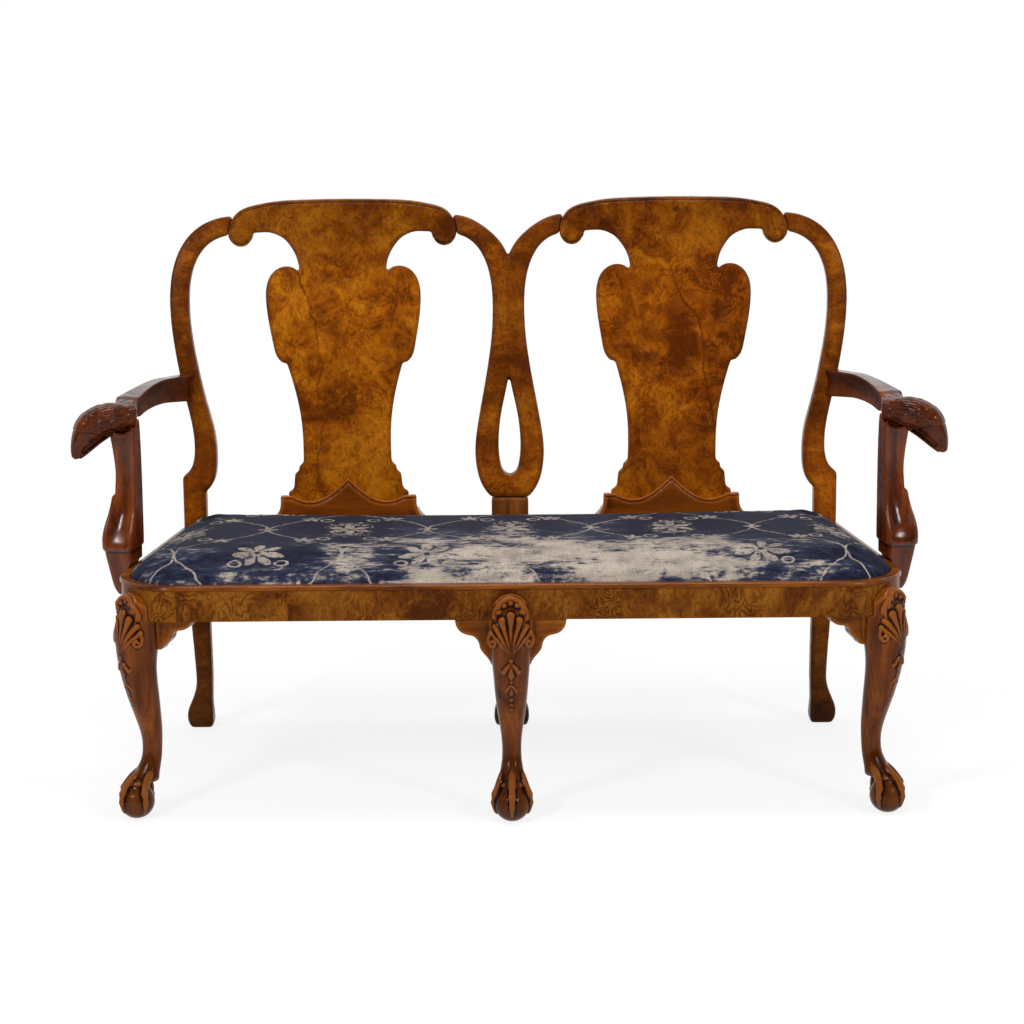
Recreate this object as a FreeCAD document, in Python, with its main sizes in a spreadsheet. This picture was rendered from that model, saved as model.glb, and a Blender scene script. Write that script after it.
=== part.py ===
import FreeCAD, Part
import math
import os
from FreeCAD import Placement, Rotation, Vector

# Double chairback settee with a drop-in seat, in millimetres.
# +X runs to the right as seen from the front, the front faces -Y, +Z is up.
# The origin lies on the floor under the middle of the overall box.

DIMENSIONS = [
    ("overall_height", 1013, "floor to the top of the crest rails"),
    ("seat_height", 410, "floor to the top of the seat rail lip"),
    ("seat_depth", 512, "face of the front rail to the front of the back posts"),
    ("front_half_width", 668, "centre to the widest point of the seat rails"),
    ("rear_half_width", 612, "centre to the outer face of a back post at the seat"),
    ("corner_radius", 105, "outer radius of the rounded front corners"),
    ("rail_height", 61, "height of the seat rails with their lip"),
    ("rail_thick", 45, "thickness of the seat rails"),
    ("veneer_thick", 2, "thickness of sawn veneer"),
    ("lip_height", 9, "height of the lip moulding"),
    ("lip_width", 14, "lip moulding behind the rail face"),
    ("lip_overhang", 3, "lip moulding in front of the rail face"),
    ("ledge_drop", 22, "top of the lip to the ledge under the drop-in seat"),
    ("upstand", 11, "width of the rail outside the ledge"),
    ("post_width", 43, "width of a back post at the seat"),
    ("post_depth", 38, "front to back size of a back post at the seat"),
    ("post_top_depth", 28, "front to back size of the back at the top"),
    ("centre_post_width", 69, "width of the centre post at the seat"),
    ("back_rake", 88, "lean of the back from the seat to the crest"),
    ("leg_rake", 70, "backward sweep of the rear legs"),
    ("rear_foot_depth", 46, "front to back size of a rear foot"),
    ("block_rise", 94, "seat to the outer notch of a back post"),
    ("inner_block_rise", 66, "seat to the inner notch of a back post"),
    ("centre_block_rise", 52, "seat to the notch of the centre post"),
    ("widest_drop", 186, "crest top to the widest level of the back posts"),
    ("post_bulge", 18.5, "widest level outside the post block"),
    ("stile_width", 35.5, "width of a back post at its widest level"),
    ("shoulder_drop", 30, "crest top to the top of the post shoulders"),
    ("shoulder_width", 34, "width of a post shoulder at the crest"),
    ("back_flare", 7, "outward lean of each chair centre up to its crest"),
    ("crest_half", 208, "half length of a crest rail"),
    ("crest_depth", 28, "thickness of a crest rail"),
    ("crest_joint_drop", 88, "crest top to the joint with the splat"),
    ("splat_ground", 12, "thickness of the splat behind its veneer"),
    ("tongue_length", 12, "splat tongue let into the crest"),
    ("shoe_height", 59, "seat rail to the ends of the shoe top"),
    ("shoe_bow", 34, "rise of the bow above the ends of the shoe top"),
    ("shoe_half", 127, "half width of the shoe top"),
    ("shoe_flare", 24, "spread of the shoe base beyond its top"),
    ("shoe_reach", 9, "shoe in front of the back posts"),
    ("rear_rail_thick", 30, "thickness of the rear rails"),
    ("cross_rail_width", 44, "width of the cross rail"),
    ("cross_rail_height", 38, "height of the cross rail"),
    ("bearer_width", 34, "width of the bearers on the rear rails"),
    ("bearer_height", 20, "height of the bearers"),
    ("glue_block_side", 55, "length of the glue blocks along each rail"),
    ("knee_width", 68, "width of the carved knee"),
    ("knee_rise", 46, "carved knee above the bottom of the rail"),
    ("knee_reach", 28, "carved knee in front of the rail face"),
    ("ball_radius", 33, "ball of a claw foot"),
    ("ball_level", 29.5, "floor to the ball centre"),
    ("foot_offset", 32, "ball centre in front of the middle of the rail"),
    ("talon_circle", 31, "ball centre to the middle of a talon"),
    ("talon_radius", 7.5, "radius of a talon"),
    ("bracket_length", 61, "knee bracket of the centre leg along the rail"),
    ("bracket_drop", 80, "knee bracket of the centre leg below the rail"),
    ("corner_bracket_length", 54, "knee bracket of a corner leg along the rail"),
    ("corner_bracket_drop", 54, "knee bracket of a corner leg below the rail"),
    ("bracket_thick", 28, "thickness of a knee bracket"),
    ("arm_rise", 259, "seat to the middle of an arm"),
    ("head_setback", 215, "front rail face to the neck of an eagle head"),
    ("head_offset", 17, "side rail face to the neck of an eagle head"),
    ("slip_gap", 1, "gap between the lip and the seat cover"),
    ("cover_thick", 1.6, "thickness of the seat cover"),
    ("slip_thick", 20, "thickness of the drop-in seat frame"),
    ("slip_width", 52, "width of the drop-in seat rails"),
    ("slip_rear_gap", 12, "back posts to the drop-in seat frame"),
    ("web_width", 50, "width of a webbing strap"),
    ("web_thick", 1.4, "thickness of a webbing strap"),
    ("cloth_thick", 1.2, "thickness of the base cloth"),
    ("crown", 36, "top of the lip to the crown of the seat"),
    ("peg_radius", 3.5, "radius of a tenon peg"),
    ("screw_radius", 2.5, "radius of a screw"),
    ("tenon_side", 26, "length of the side rail tenons"),
    ("tenon_rear", 10, "length of the rear rail tenons"),
]

DERIVED = [
    ("front_reach", "dims.foot_offset + dims.talon_circle + dims.talon_radius - dims.rail_thick / 2"),
    ("front_y", "-(dims.seat_depth + dims.back_rake + dims.crest_depth - front_reach) / 2"),
    ("post_y", "front_y + dims.seat_depth"),
    ("rail_bottom", "dims.seat_height - dims.rail_height"),
    ("ledge_z", "dims.seat_height - dims.ledge_drop"),
    ("lip_z", "dims.seat_height - dims.lip_height"),
    ("slip_top", "ledge_z + dims.slip_thick"),
    ("pad_z", "slip_top + 2 * dims.web_thick + dims.cloth_thick"),
    ("straight_half", "dims.front_half_width - dims.corner_radius"),
    ("post_inner", "dims.rear_half_width - dims.post_width"),
    ("centre_half", "dims.centre_post_width / 2"),
    ("chair_base", "(post_inner + centre_half) / 2"),
    ("chair_top", "chair_base + dims.back_flare"),
    ("crest_joint", "dims.overall_height - dims.crest_joint_drop"),
    ("shoe_top", "dims.seat_height + dims.shoe_height"),
    ("shoulder_z", "dims.overall_height - dims.shoulder_drop"),
    ("widest_z", "dims.overall_height - dims.widest_drop"),
    ("centre_block_z", "dims.seat_height + dims.centre_block_rise"),
    ("arm_z", "dims.seat_height + dims.arm_rise"),
    ("slip_inset", "dims.lip_width + dims.slip_gap + dims.cover_thick"),
    ("through", "dims.front_half_width + dims.overall_height"),
]

DOC = FreeCAD.newDocument("chairback_settee")
SHEET = DOC.addObject("Spreadsheet::Sheet", "dims")
for row, (alias, value, note) in enumerate(DIMENSIONS, start=1):
    SHEET.set(f"A{row}", note)
    SHEET.set(f"B{row}", str(value))
    SHEET.setAlias(f"B{row}", alias)
DOC.recompute()
WORKED = DOC.addObject("Spreadsheet::Sheet", "worked")
for row, (alias, formula) in enumerate(DERIVED, start=1):
    WORKED.set(f"A{row}", alias)
    WORKED.set(f"B{row}", "=" + formula)
    WORKED.setAlias(f"B{row}", alias)
    DOC.recompute()

FRONT_VIEW = Placement(Vector(0, 0, 0), Rotation(Vector(1, 0, 0), 90))
SIDE_VIEW = Placement(Vector(0, 0, 0), Rotation(Vector(1, 1, 1), 120))
PIECES = {}


def dim(name):
    """Value of a driving or worked dimension."""
    source = SHEET if name in [entry[0] for entry in DIMENSIONS] else WORKED
    return float(source.get(name))


def keep(label, piece):
    """Name a finished piece and list it for writing."""
    piece.Label = label
    PIECES[label] = piece
    return piece


def stretch(points):
    """Line through two points, arc through three, smooth curve through more."""
    vectors = [Vector(p[0], p[1], 0) for p in points]
    if len(vectors) == 2:
        return Part.LineSegment(vectors[0], vectors[1])
    if len(vectors) == 3:
        return Part.Arc(vectors[0], vectors[1], vectors[2])
    spline = Part.BSplineCurve()
    spline.interpolate(vectors)
    return spline


def sketch(name, stretches, placement):
    """Sketch of one closed outline given as stretches of points."""
    drawing = DOC.addObject("Sketcher::SketchObject", name)
    drawing.Placement = placement
    drawing.addGeometry([stretch(points) for points in stretches], False)
    return drawing


def extrude(name, drawing, forward, backward="0"):
    """Solid swept from a sketch along its normal by two bound lengths."""
    solid = DOC.addObject("Part::Extrusion", name)
    solid.Base = drawing
    solid.DirMode = "Normal"
    solid.Solid = True
    solid.setExpression("LengthFwd", forward)
    solid.setExpression("LengthRev", backward)
    return solid


def through_front(name, stretches):
    """Front outline carried through the whole depth."""
    drawing = sketch(name + "_front", stretches, FRONT_VIEW)
    return extrude(name + "_through", drawing, "worked.through", "worked.through")


def through_side(name, stretches):
    """Side outline carried through the whole width."""
    drawing = sketch(name + "_side", stretches, SIDE_VIEW)
    return extrude(name + "_across", drawing, "worked.through", "worked.through")


def box(name, low, high):
    """Box between two corners given as bound expressions."""
    block = DOC.addObject("Part::Box", name)
    for axis, length, a, b in zip("xyz", ("Length", "Width", "Height"), low, high):
        block.setExpression("Placement.Base." + axis, a)
        block.setExpression(length, f"({b}) - ({a})")
    return block


def cylinder(name, radius, length, placement):
    """Cylinder with a bound radius and length."""
    rod = DOC.addObject("Part::Cylinder", name)
    rod.setExpression("Radius", radius)
    rod.setExpression("Height", length)
    rod.Placement = placement
    return rod


def cut(name, base, *tools):
    """One piece less the pieces that enter it."""
    result = base
    for number, tool in enumerate(tools):
        step = DOC.addObject("Part::Cut", f"{name}_cut{number}")
        step.Base = result
        step.Tool = tool
        result = step
    return result


def fuse(name, *parts):
    """Several forms joined into one piece."""
    whole = DOC.addObject("Part::MultiFuse", name)
    whole.Shapes = list(parts)
    return whole


def common(name, first, second):
    """Form shared by two solids."""
    shared = DOC.addObject("Part::Common", name)
    shared.Base = first
    shared.Tool = second
    return shared


def mirror(name, source):
    """Copy of a right-hand piece on the left."""
    copy = DOC.addObject("Part::Mirroring", name)
    copy.Source = source
    copy.Base = Vector(0, 0, 0)
    copy.Normal = Vector(1, 0, 0)
    return copy


def group(name, *parts):
    """Separate solids kept in one node."""
    whole = DOC.addObject("Part::Compound", name)
    whole.Links = list(parts)
    return whole


def plain(name, shape):
    """Free form whose shape is made in code."""
    form = DOC.addObject("Part::Feature", name)
    form.Shape = shape
    form.Placement = Placement()
    return form


def pair(name, right):
    """Keep a right-hand piece and its mirrored left-hand copy."""
    keep("right_" + name, right)
    return keep("left_" + name, mirror("left_" + name, right))


def mirrored(stretches):
    """Whole outline of a symmetrical form from its right half, top to bottom."""
    left = [[(-x, z) for x, z in reversed(points)] for points in reversed(stretches)]
    return stretches + [[stretches[-1][-1], left[0][0]]] + left


def shoulder(wide, end, count=6, power=2.4):
    """Points of a rounded shoulder from the widest point up to its end."""
    points = []
    for step in range(1, count + 1):
        angle = step / count * math.pi / 2
        across = 1 - math.cos(angle) ** (2 / power)
        up = math.sin(angle) ** (2 / power)
        points.append((wide[0] + across * (end[0] - wide[0]), wide[1] + up * (end[1] - wide[1])))
    return points


def lean(z):
    """Backward shift of the back's front face at a height."""
    start = dim("seat_height") + 15
    if z >= start:
        rise = dim("overall_height") - start
        radius = (rise ** 2 + dim("back_rake") ** 2) / (2 * dim("back_rake"))
        return radius - math.sqrt(radius ** 2 - (z - start) ** 2)
    if z >= dim("rail_bottom"):
        return 0.0
    fall = dim("rail_bottom")
    radius = (fall ** 2 + dim("leg_rake") ** 2) / (2 * dim("leg_rake"))
    return radius - math.sqrt(radius ** 2 - (fall - z) ** 2)


def leaning_slab(name, front, back, low, high):
    """Curved board between two offsets behind the back's front face."""
    middle = (low + high) / 2
    face = [(dim("post_y") + lean(z) + front, z) for z in (low, middle, high)]
    rear = [(dim("post_y") + lean(z) + back, z) for z in (high, middle, low)]
    return through_side(name, [face, [face[-1], rear[0]], rear, [rear[-1], face[0]]])


class SeatPlan:
    """Plan of the seat: straight front, rounded corners, sides closing to the back."""

    def __init__(self):
        radius = dim("corner_radius")
        self.centre = (dim("straight_half"), dim("front_y") + radius)
        self.rear = (dim("rear_half_width"), dim("post_y"))
        run = (self.rear[0] - self.centre[0], self.rear[1] - self.centre[1])
        away = math.hypot(run[0], run[1])
        self.turn = math.atan2(run[1], run[0]) - math.acos(radius / away)
        self.out = (math.cos(self.turn), math.sin(self.turn))

    def side_x(self, inset, y):
        """X of the right side at an inset from the outer face."""
        step = (inset - (y - self.rear[1]) * -self.out[1]) / self.out[0]
        return self.rear[0] - step

    def outline(self, inset, rear_y):
        """Right half of the seat outline, back to front, at an inset."""
        radius = max(dim("corner_radius") - inset, 14)
        front = dim("front_y") + inset
        centre_x = self.side_x(inset + radius, front + radius)
        centre = (centre_x, front + radius)
        half = (self.turn - math.pi / 2) / 2
        round_points = []
        for angle in (self.turn, half, -math.pi / 2):
            round_points.append((centre[0] + radius * math.cos(angle), centre[1] + radius * math.sin(angle)))
        back = (self.side_x(inset, rear_y), rear_y)
        return [[(0, rear_y), back], [back, round_points[0]], round_points, [round_points[-1], (0, front)]]

    def whole(self, inset, rear_y):
        """Closed seat outline at an inset."""
        right = self.outline(inset, rear_y)
        left = [[(-x, y) for x, y in reversed(points)] for points in reversed(right)]
        rear_line = [left[-1][0], right[0][-1]]
        front_line = [right[-1][0], left[0][-1]]
        return [rear_line] + right[1:-1] + [front_line] + left[1:-1]

    def side_frame(self, y):
        """Placement on the right side's outer face: inward, up, backward."""
        inward = Vector(-self.out[0], -self.out[1], 0)
        backward = Vector(-self.out[1], self.out[0], 0)
        turn = Rotation(inward, Vector(0, 0, 1), backward, "XYZ")
        return Placement(Vector(self.side_x(0, y), y, 0), turn)


PLAN = SeatPlan()


def rail_section(start):
    """Rebated rail section as inset from the outer face and height."""
    thick, stand = dim("rail_thick"), dim("upstand")
    low, ledge, top = dim("rail_bottom"), dim("ledge_z"), dim("lip_z")
    corners = [(start, low), (thick, low), (thick, ledge), (stand, ledge), (stand, top), (start, top)]
    return [[corners[i - 1], corners[i]] for i in range(len(corners))]


def lip_section():
    """Lip moulding section with a rounded nose."""
    low, top = dim("lip_z"), dim("seat_height")
    wide, nose = dim("lip_width"), -dim("lip_overhang")
    return [
        [(0, low), (wide, low)],
        [(wide, low), (wide, top)],
        [(wide, top), (3, top)],
        [(3, top), (nose + 1.3, top - 2), (nose, top - 5.5)],
        [(nose, top - 5.5), (nose, low + 2)],
        [(nose, low + 2), (0, low)],
    ]


def radial(section):
    """Section turned from inset to distance from the corner centre."""
    radius = dim("corner_radius")
    return [[(radius - s, z) for s, z in points] for points in section]


def corner_sweep(name, section):
    """Section turned round the right front corner."""
    base = Vector(PLAN.centre[0], PLAN.centre[1], 0)
    frame = Rotation(Vector(0, -1, 0), Vector(0, 0, 1), Vector(-1, 0, 0), "XYZ")
    swept = DOC.addObject("Part::Revolution", name)
    swept.Source = sketch(name + "_section", radial(section), Placement(base, frame))
    swept.Base = base
    swept.Axis = Vector(0, 0, 1)
    swept.Angle = 90 + math.degrees(PLAN.turn)
    swept.Solid = True
    return swept


def side_sweep(name, section):
    """Section carried back along the right side to the back post."""
    start = PLAN.outline(0, dim("post_y"))[2][0]
    placement = PLAN.side_frame(start[1])
    drawing = sketch(name + "_section", section, placement)
    length = extrude(name + "_long", drawing, "dims.seat_depth")
    reach = "worked.through"
    behind = box(name + "_behind", ("0", "worked.post_y", "0"), (reach, reach, reach))
    return cut(name, length, behind)


def front_sweep(name, section):
    """Section carried along the straight front."""
    y = dim("front_y")
    drawing = sketch(name + "_section", [[(y + s, z) for s, z in points] for points in section], SIDE_VIEW)
    return extrude(name, drawing, "worked.straight_half", "worked.straight_half")


def leg_section(z, centre, depth, width, softness=0.46):
    """Rounded rectangle across a leg, outward along -Y."""
    r = softness * min(depth, width)
    a, b = width / 2, depth / 2
    y = -centre
    k = r * (1 - math.sqrt(0.5))
    corners = [(a, y + b, 1, 1), (-a, y + b, -1, 1), (-a, y - b, -1, -1), (a, y - b, 1, -1)]
    ends = []
    for x, v, sx, sy in corners:
        side, flat = Vector(x, v - sy * r, z), Vector(x - sx * r, v, z)
        first, last = (side, flat) if sx == sy else (flat, side)
        ends.append((first, Vector(x - sx * k, v - sy * k, z), last))
    edges = []
    for index, (first, middle, last) in enumerate(ends):
        edges.append(Part.Arc(first, middle, last).toShape())
        edges.append(Part.makeLine(last, ends[(index + 1) % 4][0]))
    return Part.Wire(edges)


# Cabriole sections: share of the height under the rail, centre outward, depth, width.
CABRIOLE = [
    (1.000, 14, 71, 66),
    (0.917, 18, 68, 64),
    (0.831, 20.5, 61, 60),
    (0.751, 19.5, 54, 55),
    (0.659, 14.5, 48, 50),
    (0.573, 8, 42.5, 45),
    (0.487, 1, 38, 40),
    (0.401, -4.5, 34.5, 35),
    (0.344, -5, 33, 33),
    (0.287, -2.5, 33.5, 34),
    (0.244, 3, 36, 38),
    (0.200, 10, 42, 44),
    (0.150, 18, 46, 48),
]


def claw_foot():
    """Ball gripped by four talons, flat where it meets the floor."""
    centre = Vector(0, -dim("foot_offset"), dim("ball_level"))
    foot = Part.makeSphere(dim("ball_radius"), centre)
    start = math.radians(72)
    away = Vector(0, -math.cos(start), math.sin(start))
    tangent = Vector(0, -math.sin(start), -math.cos(start))
    ring = Part.Circle(centre + away * dim("talon_circle"), tangent, dim("talon_radius"))
    talon = Part.Face(Part.Wire(ring.toShape())).revolve(centre, Vector(1, 0, 0), 110)
    for angle in (0, 90, 180, 270):
        claw = talon.copy()
        claw.rotate(centre, Vector(0, 0, 1), angle)
        foot = foot.fuse(claw)
    return foot


def leg_blank():
    """Cabriole leg with its carved knee standing in front of the rail."""
    low = dim("rail_bottom")
    wires = [leg_section(share * low, centre, depth, width) for share, centre, depth, width in CABRIOLE]
    leg = Part.makeLoft(wires, True, False).fuse(claw_foot())
    half, rise = dim("knee_width") / 2, dim("knee_rise")
    reach = dim("rail_thick") / 2 + dim("knee_reach")
    spring = low + rise - half
    inside = 0.7 * dim("upstand") - dim("rail_thick") / 2
    arch = Part.Arc(Vector(half, 0, spring), Vector(0, 0, low + rise), Vector(-half, 0, spring)).toShape()
    feet = [Vector(-half, 0, spring), Vector(-half, 0, low), Vector(half, 0, low), Vector(half, 0, spring)]
    front = Part.Face(Part.Wire([arch] + Part.makePolygon(feet).Edges)).extrude(Vector(0, -2 * reach, 0))
    crown = [Vector(-half, -reach + 16, low + rise), Vector(-half, -reach + 5, low + rise * 0.5)]
    knee = Part.BSplineCurve()
    knee.interpolate(crown + [Vector(-half, -reach + 1, low + rise * 0.2), Vector(-half, -reach, low)])
    back = [Vector(-half, -reach, low), Vector(-half, inside, low), Vector(-half, inside, low + rise), crown[0]]
    side = Part.Face(Part.Wire([knee.toShape()] + Part.makePolygon(back).Edges)).extrude(Vector(2 * half, 0, 0))
    plan = Part.Face(wires[0]).extrude(Vector(0, 0, rise))
    leg = leg.fuse(front.common(side).common(plan))
    under = Part.makeBox(400, 400, 200, Vector(-200, -200, -200))
    return leg.cut(under).removeSplitter()


def bracket_outline(long, drop):
    """Ogee knee bracket as distance from the leg's axis and height."""
    side, top = dim("knee_width") / 2 - 1, dim("rail_bottom")
    ogee = [(1, 0), (0.98, -0.13), (0.88, -0.26), (0.69, -0.34), (0.5, -0.38), (0.38, -0.47), (0.33, -0.6)]
    toe = [(0.33, -0.6), (0.26, -0.71), (0.14, -0.82), (0, -1)]
    outer = [(side + x * long, top + z * drop) for x, z in ogee]
    lower = [(side + x * long, top + z * drop) for x, z in toe]
    start = side * 0.5
    close = [[lower[-1], (start, top - drop)], [(start, top - drop), (start, top)]]
    return [[(start, top), outer[0]], outer, lower] + close


def bracket(name, place, heading, leg, size):
    """Knee bracket set along a heading from a leg's axis and scribed to the leg."""
    along = Vector(math.cos(heading), math.sin(heading), 0)
    frame = Rotation(along, Vector(0, 0, 1), along.cross(Vector(0, 0, 1)), "XYZ")
    drawing = sketch(name + "_outline", bracket_outline(*size), Placement(place, frame))
    blank = extrude(name + "_blank", drawing, "dims.bracket_thick / 2", "dims.bracket_thick / 2")
    return cut(name, blank, leg)


def oval_section(centre, heading, wide, tall, roll=0.0, softness=0.38):
    """Rounded section of an arm, square to its heading."""
    frame_x = heading.cross(Vector(0, 0, 1)).normalize()
    frame_z = frame_x.cross(heading).normalize()
    turn = Rotation(heading, roll)
    frame_x, frame_z = turn.multVec(frame_x), turn.multVec(frame_z)
    flat = leg_section(0, 0, tall, wide, softness)
    flat.Placement = Placement(centre, Rotation(frame_x, frame_z, frame_x.cross(frame_z), "XYZ"))
    return flat


def neck_spot():
    """Plan place of the right eagle's neck, beside the seat rail."""
    y = dim("front_y") + dim("head_setback")
    return PLAN.side_x(0, y) + dim("head_offset"), y


def arm_blank():
    """Right arm sweeping out from the back post, with its eagle head."""
    z, rear = dim("arm_z"), dim("post_y")
    near = dim("rear_half_width") - 12
    neck_x, neck_y = neck_spot()
    stations = [(near - 2, rear + 60, 4, 0.00, 28, 47), (near, rear + 14, 5, 0.16, 28, 47)]
    # Shares of the way from the neck back to the post and from the post out to the neck.
    sweep = [
        (0.724, 0.550, 11, 0.26, 28, 46),
        (0.480, 0.725, 13, 0.13, 30, 43),
        (0.293, 0.840, 12, 0.14, 36, 40),
        (0.121, 0.957, 9, 0.14, 46, 38),
        (-0.017, 1.000, 4, 0.05, 46, 38),
    ]
    for back, along, rise, out, wide, tall in sweep:
        spot = (near + along * (neck_x - near), neck_y + back * (rear - neck_y))
        stations.append((spot[0], spot[1], rise, out, wide, tall))
    wires = []
    for px, py, rise, out, wide, tall in stations:
        wires.append(oval_section(Vector(px, py, z + rise), Vector(out, -1, 0).normalize(), wide, tall))
    arm = Part.makeLoft(wires, True, False)
    head = [
        (-19, 0, 1, (0.87, -0.49, 0.00), 42, 44),
        (11, -19, 1, (0.87, -0.48, -0.12), 44, 49),
        (36, -33, -4, (0.82, -0.45, -0.35), 44, 53),
        (57, -45, -17, (0.65, -0.36, -0.67), 40, 49),
        (70, -52, -36, (0.42, -0.24, -0.87), 29, 34),
        (78, -56, -53, (0.30, -0.17, -0.94), 16, 20),
        (82, -58, -66, (0.15, -0.10, -0.98), 6, 8),
    ]
    wires = []
    for out, back, rise, way, wide, tall in head:
        spot = Vector(neck_x + out, neck_y + back, z + rise)
        wires.append(oval_section(spot, Vector(*way).normalize(), wide, tall))
    return arm.fuse(Part.makeLoft(wires, True, False))


def support_blank():
    """Right arm support: swelling foot, waisted stem, lapped over the seat rail."""
    low, top, seat = dim("rail_bottom"), dim("arm_z"), dim("seat_height")
    neck_y = neck_spot()[1]
    rise = top - seat
    stations = [
        (low + 3, 15, -10, 32, 46),
        (low + 25, 19, -9, 45, 60),
        (seat + 8, 23, -8, 54, 74),
        (seat + 0.11 * rise, 24.5, -8, 57, 78),
        (seat + 0.33 * rise, 21, -1, 50, 64),
        (seat + 0.54 * rise, 16.5, 4, 40.5, 54),
        (seat + 0.77 * rise, 16.5, 4, 41, 50),
        (seat + 0.9 * rise, 18.5, 2, 45, 50),
        (top - 6, 20.5, 0, 48, 50),
    ]
    wires = []
    for z, out, back, wide, deep in stations:
        wire = leg_section(0, 0, deep, wide, 0.16)
        spot = Vector(PLAN.side_x(0, neck_y + back) + out, neck_y + back, z)
        wire.Placement = Placement(spot, Rotation(Vector(0, 0, 1), math.degrees(PLAN.turn)))
        wires.append(wire)
    return Part.makeLoft(wires, True, False)


def post_outline():
    """Front outline of the right back post, floor to shoulder."""
    outer, inner = dim("rear_half_width"), dim("post_inner")
    low, seat, wide = dim("rail_bottom"), dim("seat_height"), dim("widest_z")
    end = dim("chair_top") + dim("crest_half") - 12
    top, under = dim("shoulder_z"), dim("shoulder_z") - dim("shoulder_width")
    notch, inner_notch = seat + dim("block_rise"), seat + dim("inner_block_rise")
    bulge = outer + dim("post_bulge")
    foot = [(6, 0), (12.5, 14), (11.5, 36), (2, 60), (-7.5, 88), (-9.5, 130)]
    leg = [(outer + x, z) for x, z in foot] + [(outer - 6.5, 0.62 * low), (outer - 1.5, 0.86 * low), (outer, low)]
    swell = [(0, 0), (-16.5, 0.053), (-23.5, 0.16), (-18, 0.328), (-5, 0.5), (8, 0.7)]
    side = [(outer + x, notch + rise * (wide - notch)) for x, rise in swell]
    side += [(bulge, wide)] + shoulder((bulge, wide), (end, top))
    inside = bulge - dim("stile_width")
    hollow = [(0, 0), (-14, 0.048), (-21.5, 0.16), (-17, 0.328), (-6, 0.449), (6, 0.59), (15.5, 0.723), (23, 0.86)]
    back = [(inner + x, inner_notch + rise * (wide - inner_notch)) for x, rise in hollow]
    back += [(inside, wide)] + shoulder((inside, wide), (end, under))
    inner_leg = [(inner, low), (inner, 0.86 * low), (inner + 1, 0.62 * low), (inner + 3, 100)]
    inner_leg += [(inner + 6, 40), (inner + 7, 12), (inner + 9, 0)]
    return [
        [inner_leg[-1], leg[0]],
        leg,
        [leg[-1], side[0]],
        side,
        [side[-1], back[-1]],
        back[::-1],
        [back[0], inner_leg[0]],
        inner_leg,
    ]


def post_profile(name, high):
    """Side outline of a rear leg and the back above it."""
    y, low = dim("post_y"), dim("rail_bottom")
    start, top = dim("seat_height") + 15, dim("overall_height")
    thick, thin = dim("post_depth"), dim("post_top_depth")
    deep = dim("rear_foot_depth")

    def rear(z):
        share = max(0.0, (z - start) / (top - start))
        return y + lean(z) + thick + (thin - thick) * share

    face = [(y + lean(z), z) for z in (0, low / 2, low)]
    heel = [(y + lean(0) + deep, 0), (y + lean(18) + deep, 18), (y + lean(42) + 38, 42), (y + lean(75) + 35, 75)]
    calf = [heel[-1], (y + lean(0.5 * low) + 36, 0.5 * low), (rear(low), low)]
    middle = (start + high) / 2
    stretches = [face, [face[-1], (y, start)]]
    if high > start + 40:
        up = [(y + lean(z), z) for z in (start, middle, high)]
        down = [(rear(z), z) for z in (high, middle, start)]
        stretches += [up, [up[-1], down[0]], down, [down[-1], calf[-1]]]
    else:
        stretches[-1] = [face[-1], (y, high)]
        stretches += [[(y, high), (rear(high), high)], [(rear(high), high), calf[-1]]]
    stretches += [calf[::-1], heel[::-1], [heel[0], face[0]]]
    return through_side(name, stretches)


def centre_member_outline():
    """Front outline of the right centre stile member, split from its twin at X = 0."""
    half, base = dim("centre_half"), dim("centre_block_z")
    wide = dim("widest_z") - 14
    end = dim("chair_top") - dim("crest_half") + 12
    top, under = dim("shoulder_z"), dim("shoulder_z") - dim("shoulder_width")
    swell = [(0, 0), (11, 0.035), (21.5, 0.094), (28, 0.176), (29.5, 0.264), (24.5, 0.386), (15, 0.534)]
    swell += [(5, 0.693), (-2, 0.835)]
    side = [(half + x, base + rise * (wide - base)) for x, rise in swell]
    side += [(half - 5, wide)] + shoulder((half - 5, wide), (end, under))
    valley = top - 78
    crown = [(end, top), (0.63 * end, top - 7), (0.36 * end, top - 25), (0.136 * end, top - 49), (0, valley)]
    apex, drop_low = base + 0.67 * (wide - base), base + 0.115 * (wide - base)
    tear = [(0, 1), (4, 0.865), (12, 0.68), (18.5, 0.475), (20.4, 0.3), (17.5, 0.12), (10, 0.025), (0, 0)]
    drop = [(x, drop_low + rise * (apex - drop_low)) for x, rise in tear]
    return [
        [(0, base), side[0]],
        side,
        [side[-1], crown[0]],
        crown,
        [crown[-1], drop[0]],
        drop,
        [drop[-1], (0, base)],
    ]


def crest_outline():
    """Front outline of the right crest rail with its rolled ends."""
    top, middle = dim("overall_height"), dim("chair_top")
    half, joint = dim("crest_half"), dim("crest_joint")
    arch = [(0, 0), (72, 1), (128, 4), (half - 45, 10), (half - 18, 19), (half - 5, 31)]
    crown = [(-x, top - fall) for x, fall in reversed(arch[1:])] + [(x, top - fall) for x, fall in arch]
    scroll = [(half + 4.5, top - 64), (half - 18, top - 86), (half - 40.5, top - 68)]
    under = [(half - 41, top - 60), (143, top - 59), (121, top - 64), (104, top - 76.5), (95.5, joint)]
    right = [
        [crown[-1], (half + 2.5, top - 46), scroll[0]],
        scroll,
        [scroll[-1], under[0]],
        [under[0], under[1]],
        under[1:],
    ]
    left = [[(-x, z) for x, z in reversed(points)] for points in reversed(right)]
    whole = [crown] + right + [[under[-1], (-95.5, joint)]] + left
    return [[(x + middle, z) for x, z in points] for points in whole]


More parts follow.
